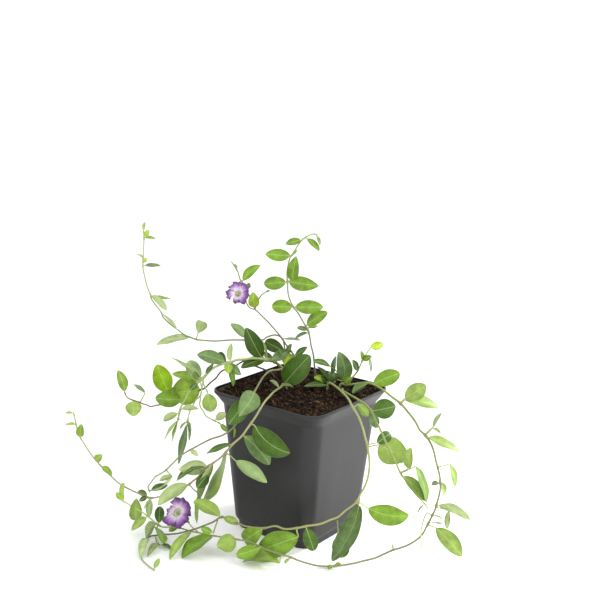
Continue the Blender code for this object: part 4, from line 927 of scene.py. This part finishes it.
# Soft violet petal: matt with a faint sheen, fine veins that fan out from the throat, and a dark rim
violet, tree, shader = surface("violet_periwinkle_petal", {"Roughness": 0.6, "Sheen Weight": 0.25})
where = add(tree, "Attribute", attribute_name="petal").outputs["Vector"]
out, across, edge = add(tree, "SeparateXYZ", (where,)).outputs
place = add(tree, "TexCoord").outputs["Object"]
uneven = add(tree, "TexNoise", {"Vector": place, "Scale": 1 / (2.2 * MM), "Detail": 4.0})
shift = add(tree, "Math", (uneven, 0.24, out), operation="MULTIPLY_ADD")
ramp = add(tree, "ValToRGB", (shift,))
set_stops(ramp, PETAL_MARKS)
fan = add(tree, "CombineXYZ", (across,))
lines = add(tree, "TexNoise", {"Vector": fan, "Scale": 9.0, "Detail": 3.0})
line = add(tree, "MapRange", (lines, 0.35, 0.65, 0.72, 1.15))
body = add(tree, "VectorMath", {0: ramp, "Scale": line}, operation="SCALE")
rim = add(tree, "MapRange", (edge, 0.84, 1.0, 0.0, 0.75), **SOFT_STEP)
colour = add(tree, "Mix", {0: rim, 6: body, 7: linear("#451b58")}, data_type="RGBA")
bump = add(tree, "Bump", {"Height": lines, "Strength": 0.5, "Distance": 0.15 * MM})
fill(tree, shader, {"Base Color": colour.outputs[2], "Normal": bump})


def corolla(name, node, heart, calyx, radius, spin, folded):
    """Five lobes of two grids each, one of them folded small, and a trumpet from the calyx to the lobes."""
    work = bmesh.new()
    petal = work.verts.layers.float_vector.new("petal")
    out = (heart - calyx).normalized()
    side = (Vector((1, 0, 0)) - out * out.x).normalized()
    up = out.cross(side)

    def lobe_spot(lobe, r, v):
        """A point of a lobe, r from the heart outwards and v across it from -1 to 1."""
        middle = radians(spin + 360 * lobe / LOBES)
        grown = max(r - THROAT, 0.0) / (1 - THROAT)
        small = 1.0 if lobe == folded else 0.0
        half = radians(LOBE_HALF - 7.0 * small * grown) * (1.0 - 0.05 * sin(pi * grown))
        turn = middle + v * half + 0.16 * grown
        reach = r * (1.0 - 0.12 * abs(v) ** 5 * grown - 0.06 * v * grown - 0.22 * small * grown)
        reach *= radius * (1.0 + grown * (0.05 * sin(lobe * 1.9) + 0.03 * sin(9 * v + 2 * lobe)
                                          + 0.012 * sin(19 * v + lobe)))
        lift = -2.2 + 2.6 * min(grown / 0.42, 1.0) ** 0.6 + 0.8 * v * min(2 * grown, 1.0)
        lift += max(grown - 0.3, 0.0) * (1.6 * sin(6.5 * v + 2.1 * lobe) + 0.7 * sin(17 * v + lobe))
        lift -= 6.0 * max(grown - 0.6, 0.0) ** 2 * (0.6 + 0.4 * sin(lobe * 2.3)) + 2.6 * small * grown
        return heart + (side * cos(turn) + up * sin(turn)) * (reach * MM) + out * (lift * MM)
    for lobe in range(LOBES):
        for face_of in (UPPER, UNDER):
            made = bmesh.ops.create_grid(work, x_segments=16, y_segments=18, size=1.0)["verts"]
            for vert in made:
                u = (vert.co.x + 1) / 2
                r = THROAT + (1 - THROAT) * (vert.co.x + 1) / 2
                v = vert.co.y
                inner = (1 - abs(v) ** 4) * (1 - u ** 6) * min(1.0, (vert.co.x + 1) * 4)
                vert[petal] = Vector((r, v + lobe * 3.0, max(u, abs(v) if r > 0.6 else 0.0)))
                vert.co = lobe_spot(lobe, r, v) + out * (PETAL_THICK * 0.5 * inner * face_of * MM)
    foot = calyx + out * (0.7 * MM)
    deep = (heart - out * (2.1 * MM) - foot).length
    stations = ((0.0, 0.05), (0.0, 0.8), (0.35, 0.85), (0.7, 1.1), (0.9, 1.7), (1.0, THROAT * radius),
                (1.0, THROAT * radius - 0.2), (0.9, 1.45), (0.72, 0.85), (0.7, 0.05))

    def tube_spot(station, turn_at):
        """A point of the trumpet, up its outside and back down its inside."""
        share, wide = stations[station]
        turn = 2 * pi * turn_at / TUBE_SIDES
        return foot + out * (share * deep) + (side * cos(turn) + up * sin(turn)) * (wide * MM)
    for vert in wrapped(work, len(stations), TUBE_SIDES, tube_spot):
        vert[petal] = Vector((0.2, 0.0, 0.0))
    knob = bmesh.ops.create_icosphere(work, subdivisions=2, radius=0.75 * MM)["verts"]
    for vert in knob:
        vert[petal] = Vector((0.02, 0.0, 0.0))
    bmesh.ops.translate(work, verts=knob, vec=heart - out * (1.7 * MM))
    bmesh.ops.remove_doubles(work, verts=work.verts, dist=PETAL_WELD)
    piece = finished(name, work, [violet])
    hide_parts(node)


corolla("upper_corolla", "upper_flower", seen(237.4, 293.2, -11), seen(243.2, 298.5, -2.2), 8.1, 31, 3)
corolla("lower_corolla", "lower_flower", seen(176.5, 511.8, -32.5), seen(185.6, 519.4, -21.5), 10.6, 225, 4)
